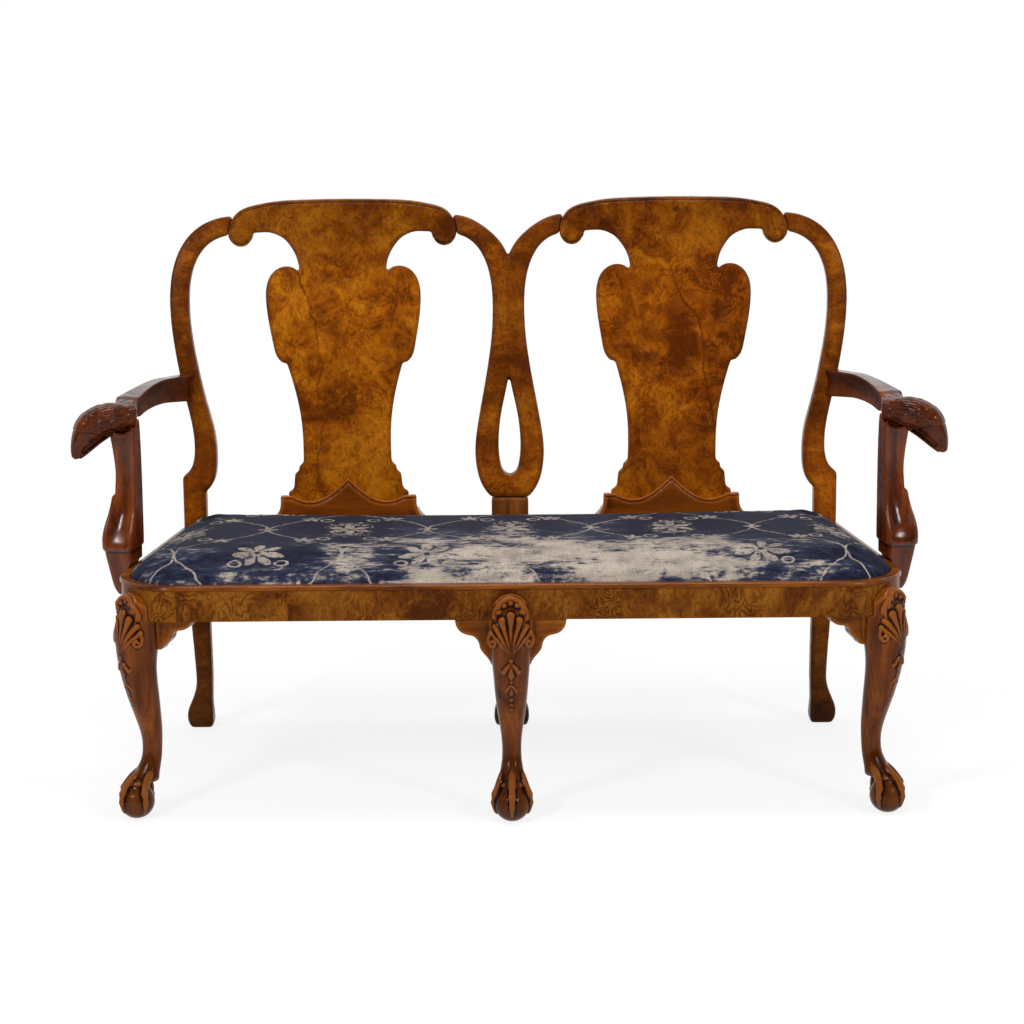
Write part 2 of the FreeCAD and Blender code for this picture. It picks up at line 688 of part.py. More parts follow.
def splat_outline():
    """Front outline of the right vase splat, crest joint to shoe socket."""
    low, high = dim("shoe_top"), dim("crest_joint")
    base, flare = dim("chair_base"), dim("back_flare")
    foot = (dim("seat_height") + 12 - low) / (high - low)
    half = [
        [(95.5, 1.0), (87, 0.97), (81.5, 0.925), (80.5, 0.89)],
        [(80.5, 0.89), (89, 0.917), (104, 0.927), (120, 0.919), (134, 0.893), (142.7, 0.845), (143.6, 0.777),
         (139, 0.695), (132.7, 0.62), (124, 0.559), (115, 0.54)],
        [(115, 0.54), (107.8, 0.539)],
        [(107.8, 0.539), (100, 0.482), (91, 0.403), (84.4, 0.317), (82, 0.241), (82, 0.149)],
        [(82, 0.149), (84.5, 0.13), (90.4, 0.121)],
        [(90.4, 0.121), (91.2, 0.101)],
        [(91.2, 0.101), (99, 0.087)],
        [(99, 0.087), (101, 0.043)],
        [(101, 0.043), (104.5, 0.022), (112, 0.013)],
        [(112, 0.013), (113, foot)],
    ]
    whole = mirrored(half)
    whole.append([whole[-1][-1], whole[0][0]])
    placed = []
    for points in whole:
        placed.append([(base + flare * rise + x, low + rise * (high - low)) for x, rise in points])
    return placed


def shoe_outline():
    """Front outline of the right splat shoe with its bow-shaped top."""
    seat, top = dim("seat_height"), dim("shoe_top")
    middle, half, flare = dim("chair_base"), dim("shoe_half"), dim("shoe_flare")
    bow = dim("shoe_bow")
    rise = [(104, 0), (89, -7), (73, -10), (52, -6.5), (32, 0.15 * bow), (15.5, 0.55 * bow), (0, bow)]
    right = [
        [(x, top + z) for x, z in reversed(rise)],
        [(104, top), (half, top)],
        [(half, top), (half, top - 14)],
        [(half, top - 14), (half + 0.3 * flare, top - 36), (half + flare, top - 50)],
        [(half + flare, top - 50), (half + flare, seat)],
    ]
    whole = mirrored(right)
    return [[(x + middle, z) for x, z in points] for points in whole]


def build_rails():
    """Seat rails, corner rails, lip mouldings, veneer, cross rail and bearers."""
    part = {}
    part["front"] = front_sweep("front_rail_blank", rail_section(dim("veneer_thick")))
    sheet = [(0, dim("rail_bottom")), (dim("veneer_thick"), dim("rail_bottom"))]
    sheet += [(dim("veneer_thick"), dim("lip_z")), (0, dim("lip_z"))]
    part["veneer"] = front_sweep("front_veneer", [[sheet[i - 1], sheet[i]] for i in range(4)])
    part["corner"] = corner_sweep("corner_rail_blank", rail_section(0))
    side = side_sweep("side_rail_body", rail_section(0))
    tenon = box(
        "side_tenon",
        ("dims.rear_half_width - 30", "worked.post_y - 10", "worked.rail_bottom + 8"),
        ("dims.rear_half_width - 16", "worked.post_y + dims.tenon_side", "worked.ledge_z - 6"),
    )
    part["side"] = fuse("side_rail_blank", side, tenon)
    rear = box(
        "rear_rail_body",
        ("worked.centre_half", "worked.post_y", "worked.rail_bottom"),
        ("worked.post_inner", "worked.post_y + dims.rear_rail_thick", "dims.seat_height"),
    )
    rear_tenon = box(
        "rear_tenon",
        ("worked.centre_half - dims.tenon_rear", "worked.post_y + 9", "worked.rail_bottom + 8"),
        ("worked.post_inner + dims.tenon_rear", "worked.post_y + 21", "dims.seat_height - 10"),
    )
    part["rear"] = fuse("rear_rail_blank", rear, rear_tenon)
    cross = box(
        "cross_body",
        ("-dims.cross_rail_width / 2", "worked.front_y + dims.rail_thick", "worked.rail_bottom"),
        ("dims.cross_rail_width / 2", "worked.post_y", "worked.rail_bottom + dims.cross_rail_height"),
    )
    cross_tenon = box(
        "cross_tenon",
        ("-8", "worked.front_y + dims.rail_thick - 18", "worked.rail_bottom + 8"),
        ("8", "worked.post_y + 22", "worked.rail_bottom + dims.cross_rail_height - 8"),
    )
    part["cross"] = fuse("cross_rail", cross, cross_tenon)
    part["front_lip"] = front_sweep("front_lip", lip_section())
    corner_lip = corner_sweep("corner_lip", lip_section())
    side_lip = side_sweep("side_lip", lip_section())
    part["lip"] = fuse("side_lip_whole", corner_lip, side_lip)
    part["bearer"] = box(
        "bearer",
        ("worked.centre_half + 6", "worked.post_y - dims.bearer_width", "worked.ledge_z - dims.bearer_height"),
        ("worked.post_inner - dims.glue_block_side - 12", "worked.post_y", "worked.ledge_z"),
    )
    return part


def build_glue_block():
    """Triangular block in the right rear corner of the seat."""
    side, y = dim("glue_block_side"), dim("post_y")
    corner = (PLAN.side_x(dim("rail_thick"), y), y)
    along = (corner[0] + side * PLAN.out[1], corner[1] - side * PLAN.out[0])
    across = (corner[0] - side, corner[1])
    level = Placement(Vector(0, 0, dim("ledge_z")), Rotation())
    drawing = sketch("glue_block_plan", [[corner, along], [along, across], [across, corner]], level)
    return extrude("glue_block", drawing, "0", "2 * dims.bearer_height")


def build_pegs():
    """Pegs that pin the tenons of the right half of the seat frame."""
    outer, inner, y = dim("rear_half_width"), dim("post_inner"), dim("post_y")
    low, ledge = dim("rail_bottom"), dim("ledge_z")
    sideways = Rotation(Vector(0, 1, 0), -90)
    forward = Rotation(Vector(1, 0, 0), 90)
    pegs = []
    for z in (low + 15, ledge - 13):
        spot = Placement(Vector(outer, y + 13, z), sideways)
        pegs.append(cylinder(f"side_peg_{len(pegs)}", "dims.peg_radius", "40", spot))
    for x in (inner + 5, dim("centre_half") - 5):
        for z in (low + 22, low + 44):
            spot = Placement(Vector(x, y + dim("post_depth"), z), forward)
            pegs.append(cylinder(f"rear_peg_{len(pegs)}", "dims.peg_radius", "dims.post_depth - 5", spot))
    return group("right_pegs", *pegs)


def build_support_screws():
    """Screws through the right seat rail into the arm support."""
    frame = PLAN.side_frame(neck_spot()[1] - 11)
    outward = Vector(PLAN.out[0], PLAN.out[1], 0)
    turn = Rotation(Vector(0, 0, 1), outward)
    screws = []
    for z in (dim("rail_bottom") + 14, dim("rail_bottom") + 33):
        start = frame.Base + Vector(0, 0, z) - outward * dim("rail_thick")
        shank = cylinder(f"support_shank_{z:.0f}", "dims.screw_radius", "dims.rail_thick + 14", Placement(start, turn))
        head = cylinder(f"support_head_{z:.0f}", "2 * dims.screw_radius", "3", Placement(start, turn))
        screws.append(fuse(f"support_screw_{z:.0f}", shank, head))
    return group("right_support_screws", *screws)


def build_arm_screw():
    """Screw through the right back post into the arm."""
    z = dim("arm_z") - 1
    start = dim("seat_height") + 15
    share = (z - start) / (dim("overall_height") - start)
    depth = dim("post_depth") + (dim("post_top_depth") - dim("post_depth")) * share
    spot = Vector(dim("rear_half_width") - 12, dim("post_y") + lean(z) + depth - 3, z)
    turn = Rotation(Vector(1, 0, 0), 90)
    shank = cylinder("arm_shank", "dims.screw_radius", "dims.post_depth + 10", Placement(spot, turn))
    head = cylinder("arm_head", "2 * dims.screw_radius", "3", Placement(spot, turn))
    return fuse("right_arm_screw", shank, head)


def build_seat_frame(rails, pegs, support_screws):
    """Keep the rails with the joints cut into them."""
    leg_tenon = box(
        "centre_leg_tenon",
        ("-20", "worked.front_y + 8", "worked.rail_bottom - 20"),
        ("20", "worked.front_y + 20", "worked.rail_bottom + 32"),
    )
    origin = corner_leg_origin()
    spot = Placement(origin + Vector(0, 0, dim("rail_bottom") - 20), Rotation())
    dowel = cylinder("corner_leg_dowel", "dims.rail_thick / 3", "56", spot)
    keep("front_seat_rail", cut("front_seat_rail", rails["front"], leg_tenon, rails["cross"]))
    keep("front_rail_veneer", rails["veneer"])
    pair("corner_rail", cut("right_corner_rail", rails["corner"], dowel))
    pair("seat_rail", cut("right_seat_rail", rails["side"], pegs, support_screws))
    pair("rear_rail", cut("right_rear_rail", rails["rear"], pegs))
    keep("seat_cross_rail", rails["cross"])
    keep("front_lip_moulding", rails["front_lip"])
    pair("lip_moulding", rails["lip"])
    pair("glue_block", build_glue_block())
    keep("seat_bearers", group("seat_bearers", rails["bearer"], mirror("left_bearer", rails["bearer"])))
    return leg_tenon, dowel


def corner_leg_origin():
    """Axis of the right corner leg, on the middle of the rounded corner."""
    reach = (dim("corner_radius") - dim("rail_thick") / 2) * math.sqrt(0.5)
    return Vector(PLAN.centre[0] + reach, PLAN.centre[1] - reach, 0)


def build_front_legs(rails, leg_tenon, dowel):
    """Three cabriole legs and their knee brackets."""
    shape = leg_blank()
    centre = Vector(0, dim("front_y") + dim("rail_thick") / 2, 0)
    blank = plain("centre_leg_blank", shape)
    blank.Placement = Placement(centre, Rotation())
    scribed = cut("centre_leg_scribed", blank, rails["veneer"], rails["front"])
    centre_leg = keep("front_centre_leg", fuse("front_centre_leg", scribed, leg_tenon))
    origin = corner_leg_origin()
    turned = plain("corner_leg_blank", shape)
    turned.Placement = Placement(origin, Rotation(Vector(0, 0, 1), 45))
    scribed = cut("corner_leg_scribed", turned, rails["corner"])
    corner_leg = fuse("right_front_leg", scribed, dowel)
    pair("front_leg", corner_leg)
    middle = centre + Vector(0, dim("bracket_thick") / 2 + 4 - dim("rail_thick") / 2, 0)
    size = (dim("bracket_length"), dim("bracket_drop"))
    right = bracket("centre_bracket", middle, 0, centre_leg, size)
    keep("centre_leg_right_bracket", right)
    keep("centre_leg_left_bracket", mirror("centre_leg_left_bracket", right))
    size = (dim("corner_bracket_length"), dim("corner_bracket_drop"))
    reach = dim("knee_width") / 2 + size[0]
    fall = (dim("corner_radius") - dim("rail_thick") / 2) * (1 - math.sqrt(0.5))
    swing = math.asin(fall / reach)
    pair("leg_front_bracket", bracket("corner_front_bracket", origin, math.pi + swing, corner_leg, size))
    pair("leg_side_bracket", bracket("corner_side_bracket", origin, math.pi / 2 - swing, corner_leg, size))


def build_back(rails, pegs, arm_screw):
    """Back posts, rear centre leg, stile members, crests, splats and shoes."""
    joint, top = dim("crest_joint"), dim("overall_height")
    crest_through = through_front("crest", crest_outline())
    crest_slab = leaning_slab("crest", 0, dim("crest_depth"), joint - 30, top + 10)
    crest_blank = common("crest_blank", crest_through, crest_slab)
    splat_through = through_front("splat", splat_outline())
    sheet = dim("veneer_thick")
    ground = sheet + dim("splat_ground")
    low = dim("seat_height")
    ground_slab = leaning_slab("ground", sheet, ground, low, top)
    veneer_slab = leaning_slab("veneer", 0, sheet, low, top)
    middle, length = dim("chair_top"), dim("tongue_length")
    corners = [(middle - 70, joint - 6), (middle + 70, joint - 6)]
    corners += [(middle + 70, joint + length), (middle - 70, joint + length)]
    tongue_through = through_front("tongue", [[corners[i - 1], corners[i]] for i in range(4)])
    tongue_slab = leaning_slab("tongue", sheet + 3, sheet + 9, joint - 40, top)
    tongue = common("tongue", tongue_through, tongue_slab)
    splat = fuse("right_splat", common("splat_body", splat_through, ground_slab), tongue)
    veneer = common("right_splat_veneer", splat_through, veneer_slab)
    pair("splat", splat)
    pair("splat_veneer", veneer)
    pair("crest_rail", cut("right_crest_rail", crest_blank, splat))
    y, seat = dim("post_y"), dim("seat_height")
    front, rear = y - dim("shoe_reach"), y + dim("rear_rail_thick")
    high = dim("shoe_top") + dim("shoe_bow") + 5
    steps = [(front, seat), (rear, seat), (rear, seat + 32), (y + 6, seat + 36), (y + 6, high), (front, high)]
    shoe_side = through_side("shoe", [[steps[i - 1], steps[i]] for i in range(len(steps))])
    shoe = common("shoe_blank", through_front("shoe", shoe_outline()), shoe_side)
    pair("splat_shoe", cut("right_splat_shoe", shoe, splat, veneer))
    profile = post_profile("post", top)
    post_through = cut("post_scribed", through_front("post", post_outline()), crest_through)
    post = common("post_blank", post_through, profile)
    pair("back_post", cut("right_back_post", post, rails["side"], rails["rear"], pegs, arm_screw))
    member_through = cut("member_scribed", through_front("member", centre_member_outline()), crest_through)
    member = common("member_blank", member_through, profile)
    member_tenon = box(
        "member_tenon",
        ("9", "worked.post_y + 12", "worked.centre_block_z - 40"),
        ("25", "worked.post_y + 26", "worked.centre_block_z + 10"),
    )
    stile = fuse("right_centre_stile", member, member_tenon)
    pair("centre_stile", stile)
    return stile


def build_centre_leg(rails, pegs, stile):
    """Rear centre leg with its block between the rear rails."""
    half, top, low = dim("centre_half"), dim("centre_block_z"), dim("rail_bottom")
    right = [(half, top), (half, low)]
    leg = [(half, low), (half - 10, 0.8 * low), (half - 15, 0.55 * low), (half - 16, 110), (half - 15, 70)]
    leg += [(half - 6, 46), (half - 1, 24), (half - 2, 10), (half - 6, 0)]
    whole = mirrored([right, leg])
    whole.append([whole[-1][-1], whole[0][0]])
    blank = common("centre_rear_blank", through_front("centre_rear", whole), post_profile("centre_rear", top))
    left_rail = mirror("left_rear_blank", rails["rear"])
    left_stile = mirror("left_stile_blank", stile)
    left_pegs = mirror("left_pegs_centre", pegs)
    entering = (rails["cross"], rails["rear"], left_rail, stile, left_stile, pegs, left_pegs)
    keep("rear_centre_leg", cut("rear_centre_leg", blank, *entering))


def build_arms(rails, support_screws, arm_screw):
    """Arms with eagle heads and their supports."""
    behind = leaning_slab("behind_back", 0, 200, dim("seat_height") + 16, dim("overall_height"))
    arm = cut("arm_scribed", plain("arm_blank", arm_blank()), behind)
    pair("arm", cut("right_arm", arm, arm_screw))
    blank = plain("support_blank", support_blank())
    support = cut("right_arm_support", blank, arm, rails["side"], rails["lip"], support_screws)
    pair("arm_support", support)


def seat_wire(inset, rear_y, z):
    """Closed seat outline at a height."""
    edges = []
    for points in PLAN.whole(inset, rear_y):
        edges.append(stretch(points).toShape())
    wire = Part.Wire(edges)
    wire.translate(Vector(0, 0, z))
    return wire


def crowned(sections):
    """Padded form through outlines given as inset, rear inset and height."""
    rear = dim("post_y") - dim("slip_rear_gap")
    wires = [seat_wire(inset, rear - back, z) for inset, back, z in sections]
    return Part.makeLoft(wires, True, True)


def build_slip_frame():
    """Frame of the drop-in seat, in four rails and a centre bar."""
    rear = dim("post_y") - dim("slip_rear_gap")
    level = Placement(Vector(0, 0, dim("ledge_z")), Rotation())
    wide, inset = dim("slip_width"), dim("slip_inset")
    outer = extrude("slip_outer", sketch("slip_outer_plan", PLAN.whole(inset, rear), level), "dims.slip_thick")
    inner_plan = PLAN.whole(inset + wide, rear - wide)
    inner = extrude("slip_inner", sketch("slip_inner_plan", inner_plan, level), "dims.slip_thick")
    ring = cut("slip_ring", outer, inner)
    far = "worked.through"
    split = "worked.front_y + worked.slip_inset + dims.slip_width"
    back = "worked.post_y - dims.slip_rear_gap - dims.slip_width"
    front_zone = box("slip_front_zone", (f"-{far}", f"-{far}", "0"), (far, split, far))
    back_zone = box("slip_back_zone", (f"-{far}", back, "0"), (far, far, far))
    side_zone = box("slip_side_zone", ("0", split, "0"), (far, back, far))
    keep("slip_frame_front", common("slip_frame_front", ring, front_zone))
    keep("slip_frame_back", common("slip_frame_back", ring, back_zone))
    pair("slip_frame_side", common("right_slip_frame_side", ring, side_zone))
    bar = box("slip_bar", ("-dims.slip_width / 2", split, "worked.ledge_z"), ("dims.slip_width / 2", back, "worked.slip_top"))
    keep("slip_frame_bar", bar)


def build_webbing():
    """Two layers of straps across the drop-in seat frame."""
    front, rear = dim("front_y") + dim("slip_inset") + 8, dim("post_y") - dim("slip_rear_gap") - 8
    straps = []
    count = 9
    reach = dim("rear_half_width") - dim("slip_inset") - dim("web_width")
    for number in range(count):
        x = -reach + 2 * reach * number / (count - 1)
        strap = box(
            f"cross_web_{number}",
            (f"{x} - dims.web_width / 2", f"{front}", "worked.slip_top"),
            (f"{x} + dims.web_width / 2", f"{rear}", "worked.slip_top + dims.web_thick"),
        )
        straps.append(strap)
    keep("webbing_crossways", group("webbing_crossways", *straps))
    straps = []
    for number in range(3):
        y = dim("front_y") + dim("corner_radius") + 40 + number * (dim("seat_depth") - dim("corner_radius") - 130) / 2
        half = PLAN.side_x(dim("slip_inset") + 8, y + dim("web_width") / 2)
        strap = box(
            f"long_web_{number}",
            (f"-{half}", f"{y} - dims.web_width / 2", "worked.slip_top + dims.web_thick"),
            (f"{half}", f"{y} + dims.web_width / 2", "worked.slip_top + 2 * dims.web_thick"),
        )
        straps.append(strap)
    keep("webbing_lengthways", group("webbing_lengthways", *straps))


def build_upholstery():
    """Base cloth, stuffing pad and cover of the drop-in seat."""
    inset, skin = dim("slip_inset"), dim("cover_thick")
    base, crown_z = dim("pad_z"), dim("seat_height") + dim("crown")
    rear = dim("post_y") - dim("slip_rear_gap")
    level = Placement(Vector(0, 0, base - dim("cloth_thick")), Rotation())
    drawing = sketch("cloth_plan", PLAN.whole(inset + 4, rear - 4), level)
    keep("base_cloth", extrude("base_cloth", drawing, "dims.cloth_thick"))
    swell = [(0, 0), (4, 0.38), (11, 0.62), (26, 0.8), (60, 0.93), (120, 1.0)]
    rise = crown_z - base
    outer = [(inset - skin, -skin, dim("ledge_z") + 1.5)]
    outer += [(inset - skin + run, run - skin, base + up * rise) for run, up in swell]
    inner = [(inset + run, run, base + up * (rise - skin)) for run, up in swell]
    pad = crowned(inner)
    envelope = Part.Face(seat_wire(inset, rear, dim("ledge_z") - 5)).extrude(Vector(0, 0, base - dim("ledge_z") + 5))
    keep("stuffing_pad", plain("stuffing_pad", pad))
    keep("seat_cover", plain("seat_cover", crowned(outer).cut(envelope).cut(pad)))


def build():
    """Make every piece of the settee."""
    rails = build_rails()
    pegs = build_pegs()
    support_screws = build_support_screws()
    arm_screw = build_arm_screw()
    leg_tenon, dowel = build_seat_frame(rails, pegs, support_screws)
    build_front_legs(rails, leg_tenon, dowel)
    stile = build_back(rails, pegs, arm_screw)
    build_centre_leg(rails, pegs, stile)
    build_arms(rails, support_screws, arm_screw)
    keep("joint_pegs", group("joint_pegs", pegs, mirror("left_pegs", pegs)))
    screws = group("arm_support_screws", support_screws, mirror("left_support_screws", support_screws))
    keep("arm_support_screws", screws)
    keep("arm_screws", group("arm_screws", arm_screw, mirror("left_arm_screw", arm_screw)))
    build_slip_frame()
    build_webbing()
    build_upholstery()
    DOC.recompute()


def check_and_write():
    """Stop on any faulty object, then write one file per piece."""
    for item in DOC.Objects:
        if "Invalid" in item.State or "Error" in item.State:
            raise RuntimeError(f"{item.Name} did not build")
    os.makedirs("parts", exist_ok=True)
    for label, piece in PIECES.items():
        shape = piece.Shape
        if shape.isNull() or not shape.isValid() or not shape.Solids:
            raise RuntimeError(f"{label} has no sound shape")
        print(label, len(shape.Solids), round(shape.Volume / 1000, 1), shape.BoundBox)
        shape.exportStep(f"parts/{label}.step")


build()
check_and_write()
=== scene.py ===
"""Looks of a walnut chairback settee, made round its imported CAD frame.

The frame's axes hold throughout: X to the picture's right, Y to the back, Z up. Carving is worked
in millimetres, and every mesh is handed to Blender in metres.
"""

import logging
import math
from dataclasses import dataclass
from enum import Enum
from typing import Any, Callable, Sequence

import bpy
import numpy as np
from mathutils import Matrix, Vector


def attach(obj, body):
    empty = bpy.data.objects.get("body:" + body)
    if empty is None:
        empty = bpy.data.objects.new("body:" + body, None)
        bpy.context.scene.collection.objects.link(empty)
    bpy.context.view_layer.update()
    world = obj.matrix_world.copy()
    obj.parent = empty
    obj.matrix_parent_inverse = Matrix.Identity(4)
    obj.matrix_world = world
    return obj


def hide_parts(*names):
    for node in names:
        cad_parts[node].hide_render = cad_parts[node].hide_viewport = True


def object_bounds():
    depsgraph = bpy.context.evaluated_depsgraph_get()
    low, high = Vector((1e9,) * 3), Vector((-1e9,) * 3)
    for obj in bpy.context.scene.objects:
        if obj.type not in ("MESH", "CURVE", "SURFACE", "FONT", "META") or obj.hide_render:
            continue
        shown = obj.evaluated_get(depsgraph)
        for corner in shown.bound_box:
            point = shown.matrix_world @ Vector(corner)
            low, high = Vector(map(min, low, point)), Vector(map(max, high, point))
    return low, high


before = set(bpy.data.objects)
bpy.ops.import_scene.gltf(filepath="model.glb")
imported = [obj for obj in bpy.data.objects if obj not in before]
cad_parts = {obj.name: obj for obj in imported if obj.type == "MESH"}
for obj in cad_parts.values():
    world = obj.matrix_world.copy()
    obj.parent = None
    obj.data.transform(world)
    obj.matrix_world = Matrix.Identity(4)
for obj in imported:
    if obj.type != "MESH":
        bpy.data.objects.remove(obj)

import openvdb
from mathutils import Matrix, Vector

MM = 0.001
LOG = logging.getLogger("settee")
CAD_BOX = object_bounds()

Array = np.ndarray
Material = bpy.types.Material
Socket = bpy.types.NodeSocket
Colour = tuple[float, float, float]
Point = tuple[float, float, float]
Solid = tuple[Array, Array]
Face = Callable[[float, float], float]


class Body(Enum):
    """Bodies of the frame that a piece can ride on."""

    FRAME = "frame"
    SEAT = "drop_in_seat"


class Side(Enum):
    """The two ends of the settee, with the sign of their X."""

    RIGHT = 1
    LEFT = -1

    @property
    def word(self) -> str:
        """First word of the side's node names."""
        return self.name.lower()


class Grain(Enum):
    """Axis that the grain of a piece runs along."""

    ACROSS = 0
    BACKWARD = 1
    UPRIGHT = 2


def smooth_step(low: float, high: float, value: Array) -> Array:
    """Soft ramp of the values, from 0 at low to 1 at high."""
    share = np.clip((value - low) / (high - low), 0.0, 1.0)
    return share * share * (3.0 - 2.0 * share)


class Tree:
    """Short ways to add and link the nodes of one tree."""

    def __init__(self, tree: bpy.types.NodeTree) -> None:
        """Takes up the tree."""
        self.nodes, self.links = tree.nodes, tree.links

    def feed(self, socket: Socket, value: Any) -> None:
        """Links a socket into another one, or sets its value."""
        if isinstance(value, Socket):
            self.links.new(value, socket)
        else:
            socket.default_value = value

    def add(self, kind: str, inputs: dict, output: Any = 0, **settings: Any) -> Socket:
        """Adds a node and feeds its inputs.

        Args:
            kind: Type of the node.
            inputs: Values or sockets by input name or number.
            output: Name or number of the output wanted.
            settings: Properties of the node.

        Returns:
            The output socket.
        """
        node = self.nodes.new(kind)
        for name, value in settings.items():
            setattr(node, name, value)
        for key, value in inputs.items():
            self.feed(node.inputs[key], value)
        return node.outputs[output]

    def math(self, operation: str, *values: Any, clamp: bool = False) -> Socket:
        """One Math node on the values given."""
        return self.add("ShaderNodeMath", dict(enumerate(values)), operation=operation, use_clamp=clamp)

    def times(self, first: Any, second: Any) -> Socket:
        """Product of two values."""
        return self.math("MULTIPLY", first, second)

    def plus(self, first: Any, second: Any) -> Socket:
        """Sum of two values."""
        return self.math("ADD", first, second)

    def minus(self, first: Any, second: Any) -> Socket:
        """First value less the second."""
        return self.math("SUBTRACT", first, second)

    def parts(self, vector: Any) -> list[Socket]:
        """Sockets of a vector's X, Y and Z."""
        node = self.nodes.new("ShaderNodeSeparateXYZ")
        self.feed(node.inputs[0], vector)
        return list(node.outputs)

    def span(self, value: Any, low: float, high: float, start: float = 0.0, end: float = 1.0,
             soft: bool = True) -> Socket:
        """Value mapped from low and high to start and end, held at both."""
        inputs = {"Value": value, "From Min": low, "From Max": high, "To Min": start, "To Max": end}
        kind = "SMOOTHSTEP" if soft else "LINEAR"
        return self.add("ShaderNodeMapRange", inputs, interpolation_type=kind)


class NodeTree(Tree):
    """Node tree of one material."""

    def __init__(self, name: str) -> None:
        """Starts a material of that name, with a Principled shader."""
        self.material = bpy.data.materials.new(name)
        self.material.use_nodes = True
        super().__init__(self.material.node_tree)
        self.shader = self.nodes["Principled BSDF"]
        self.place = self.add("ShaderNodeTexCoord", {}, "Object")

    def vector(self, operation: str, *values: Any) -> Socket:
        """One Vector Math node on the values given."""
        return self.add("ShaderNodeVectorMath", dict(enumerate(values)), operation=operation)

    def mapped(self, place: Any, scale: Point, shift: Point = (0, 0, 0)) -> Socket:
        """Coordinates stretched by scale and moved by shift."""
        return self.add("ShaderNodeMapping", {"Vector": place, "Scale": scale, "Location": shift})

    def noise(self, place: Any, scale: float, detail: float = 3, rough: float = 0.5, twist: float = 0,
              output: str = "Fac") -> Socket:
        """Noise texture with so many cells to the metre; its output is "Fac" or "Color"."""
        inputs = {"Vector": place, "Scale": scale, "Detail": detail, "Roughness": rough, "Distortion": twist}
        return self.add("ShaderNodeTexNoise", inputs, output)

    def warped(self, place: Any, scale: float, reach: float, detail: float = 2) -> Socket:
        """Coordinates pushed about by noise of that scale, up to about reach metres."""
        drift = self.vector("SUBTRACT", self.noise(place, scale, detail, output="Color"), (0.5, 0.5, 0.5))
        return self.vector("ADD", place, self.vector("MULTIPLY", drift, (2 * reach,) * 3))

    def ramp(self, share: Any, *stops: tuple[float, Colour]) -> Socket:
        """Colour ramp over the stops given."""
        node = self.nodes.new("ShaderNodeValToRGB")
        self.feed(node.inputs[0], share)
        elements = node.color_ramp.elements
        while len(elements) < len(stops):
            elements.new(1.0)
        for element, (position, colour) in zip(elements, stops):
            element.position = position
            element.color = (*colour, 1.0)
        return node.outputs[0]

    def mix(self, share: Any, first: Any, second: Any, blend: str = "MIX") -> Socket:
        """Mix of two colours."""
        colours = [(*c, 1.0) if isinstance(c, tuple) else c for c in (first, second)]
        inputs = {0: share, 6: colours[0], 7: colours[1]}
        return self.add("ShaderNodeMix", inputs, 2, data_type="RGBA", blend_type=blend)

    def attribute(self, name: str) -> Socket:
        """Value that the mesh carries at its points; nothing where it carries none."""
        return self.add("ShaderNodeAttribute", {}, "Fac", attribute_name=name)

    def toned(self, colour: Any, tone: Sequence[tuple[float, float]]) -> Socket:
        """Colour darkened or lightened by height.

        Args:
            colour: Colour socket.
            tone: Rising heights, in metres, with the share of the colour at each; empty for one tone.

        Returns:
            The colour socket.
        """
        if not tone:
            return colour
        top = CAD_BOX[1][2]
        height = self.times(self.parts(self.place)[2], 1.0 / top)
        share = self.ramp(height, *((level / top, (amount,) * 3) for level, amount in tone))
        return self.mix(1.0, colour, share, "MULTIPLY")

    def bump(self, height: Any, depth: float, strength: float = 1.0) -> Socket:
        """Normal from a height, of which 1 stands up by depth metres."""
        return self.add("ShaderNodeBump", {"Height": height, "Distance": depth, "Strength": strength})

    def finish(self, colour: Any, rough: Any, normal: Any, **constants: Any) -> Material:
        """Feeds the shader.

        Args:
            colour: Base colour.
            rough: Roughness.
            normal: Normal.
            constants: Values of other shader inputs, with _ for a space.

        Returns:
            The material.
        """
        self.feed(self.shader.inputs["Base Color"], colour)
        self.feed(self.shader.inputs["Roughness"], rough)
        self.feed(self.shader.inputs["Normal"], normal)
        for name, value in constants.items():
            self.shader.inputs[name.replace("_", " ")].default_value = value
        return self.material


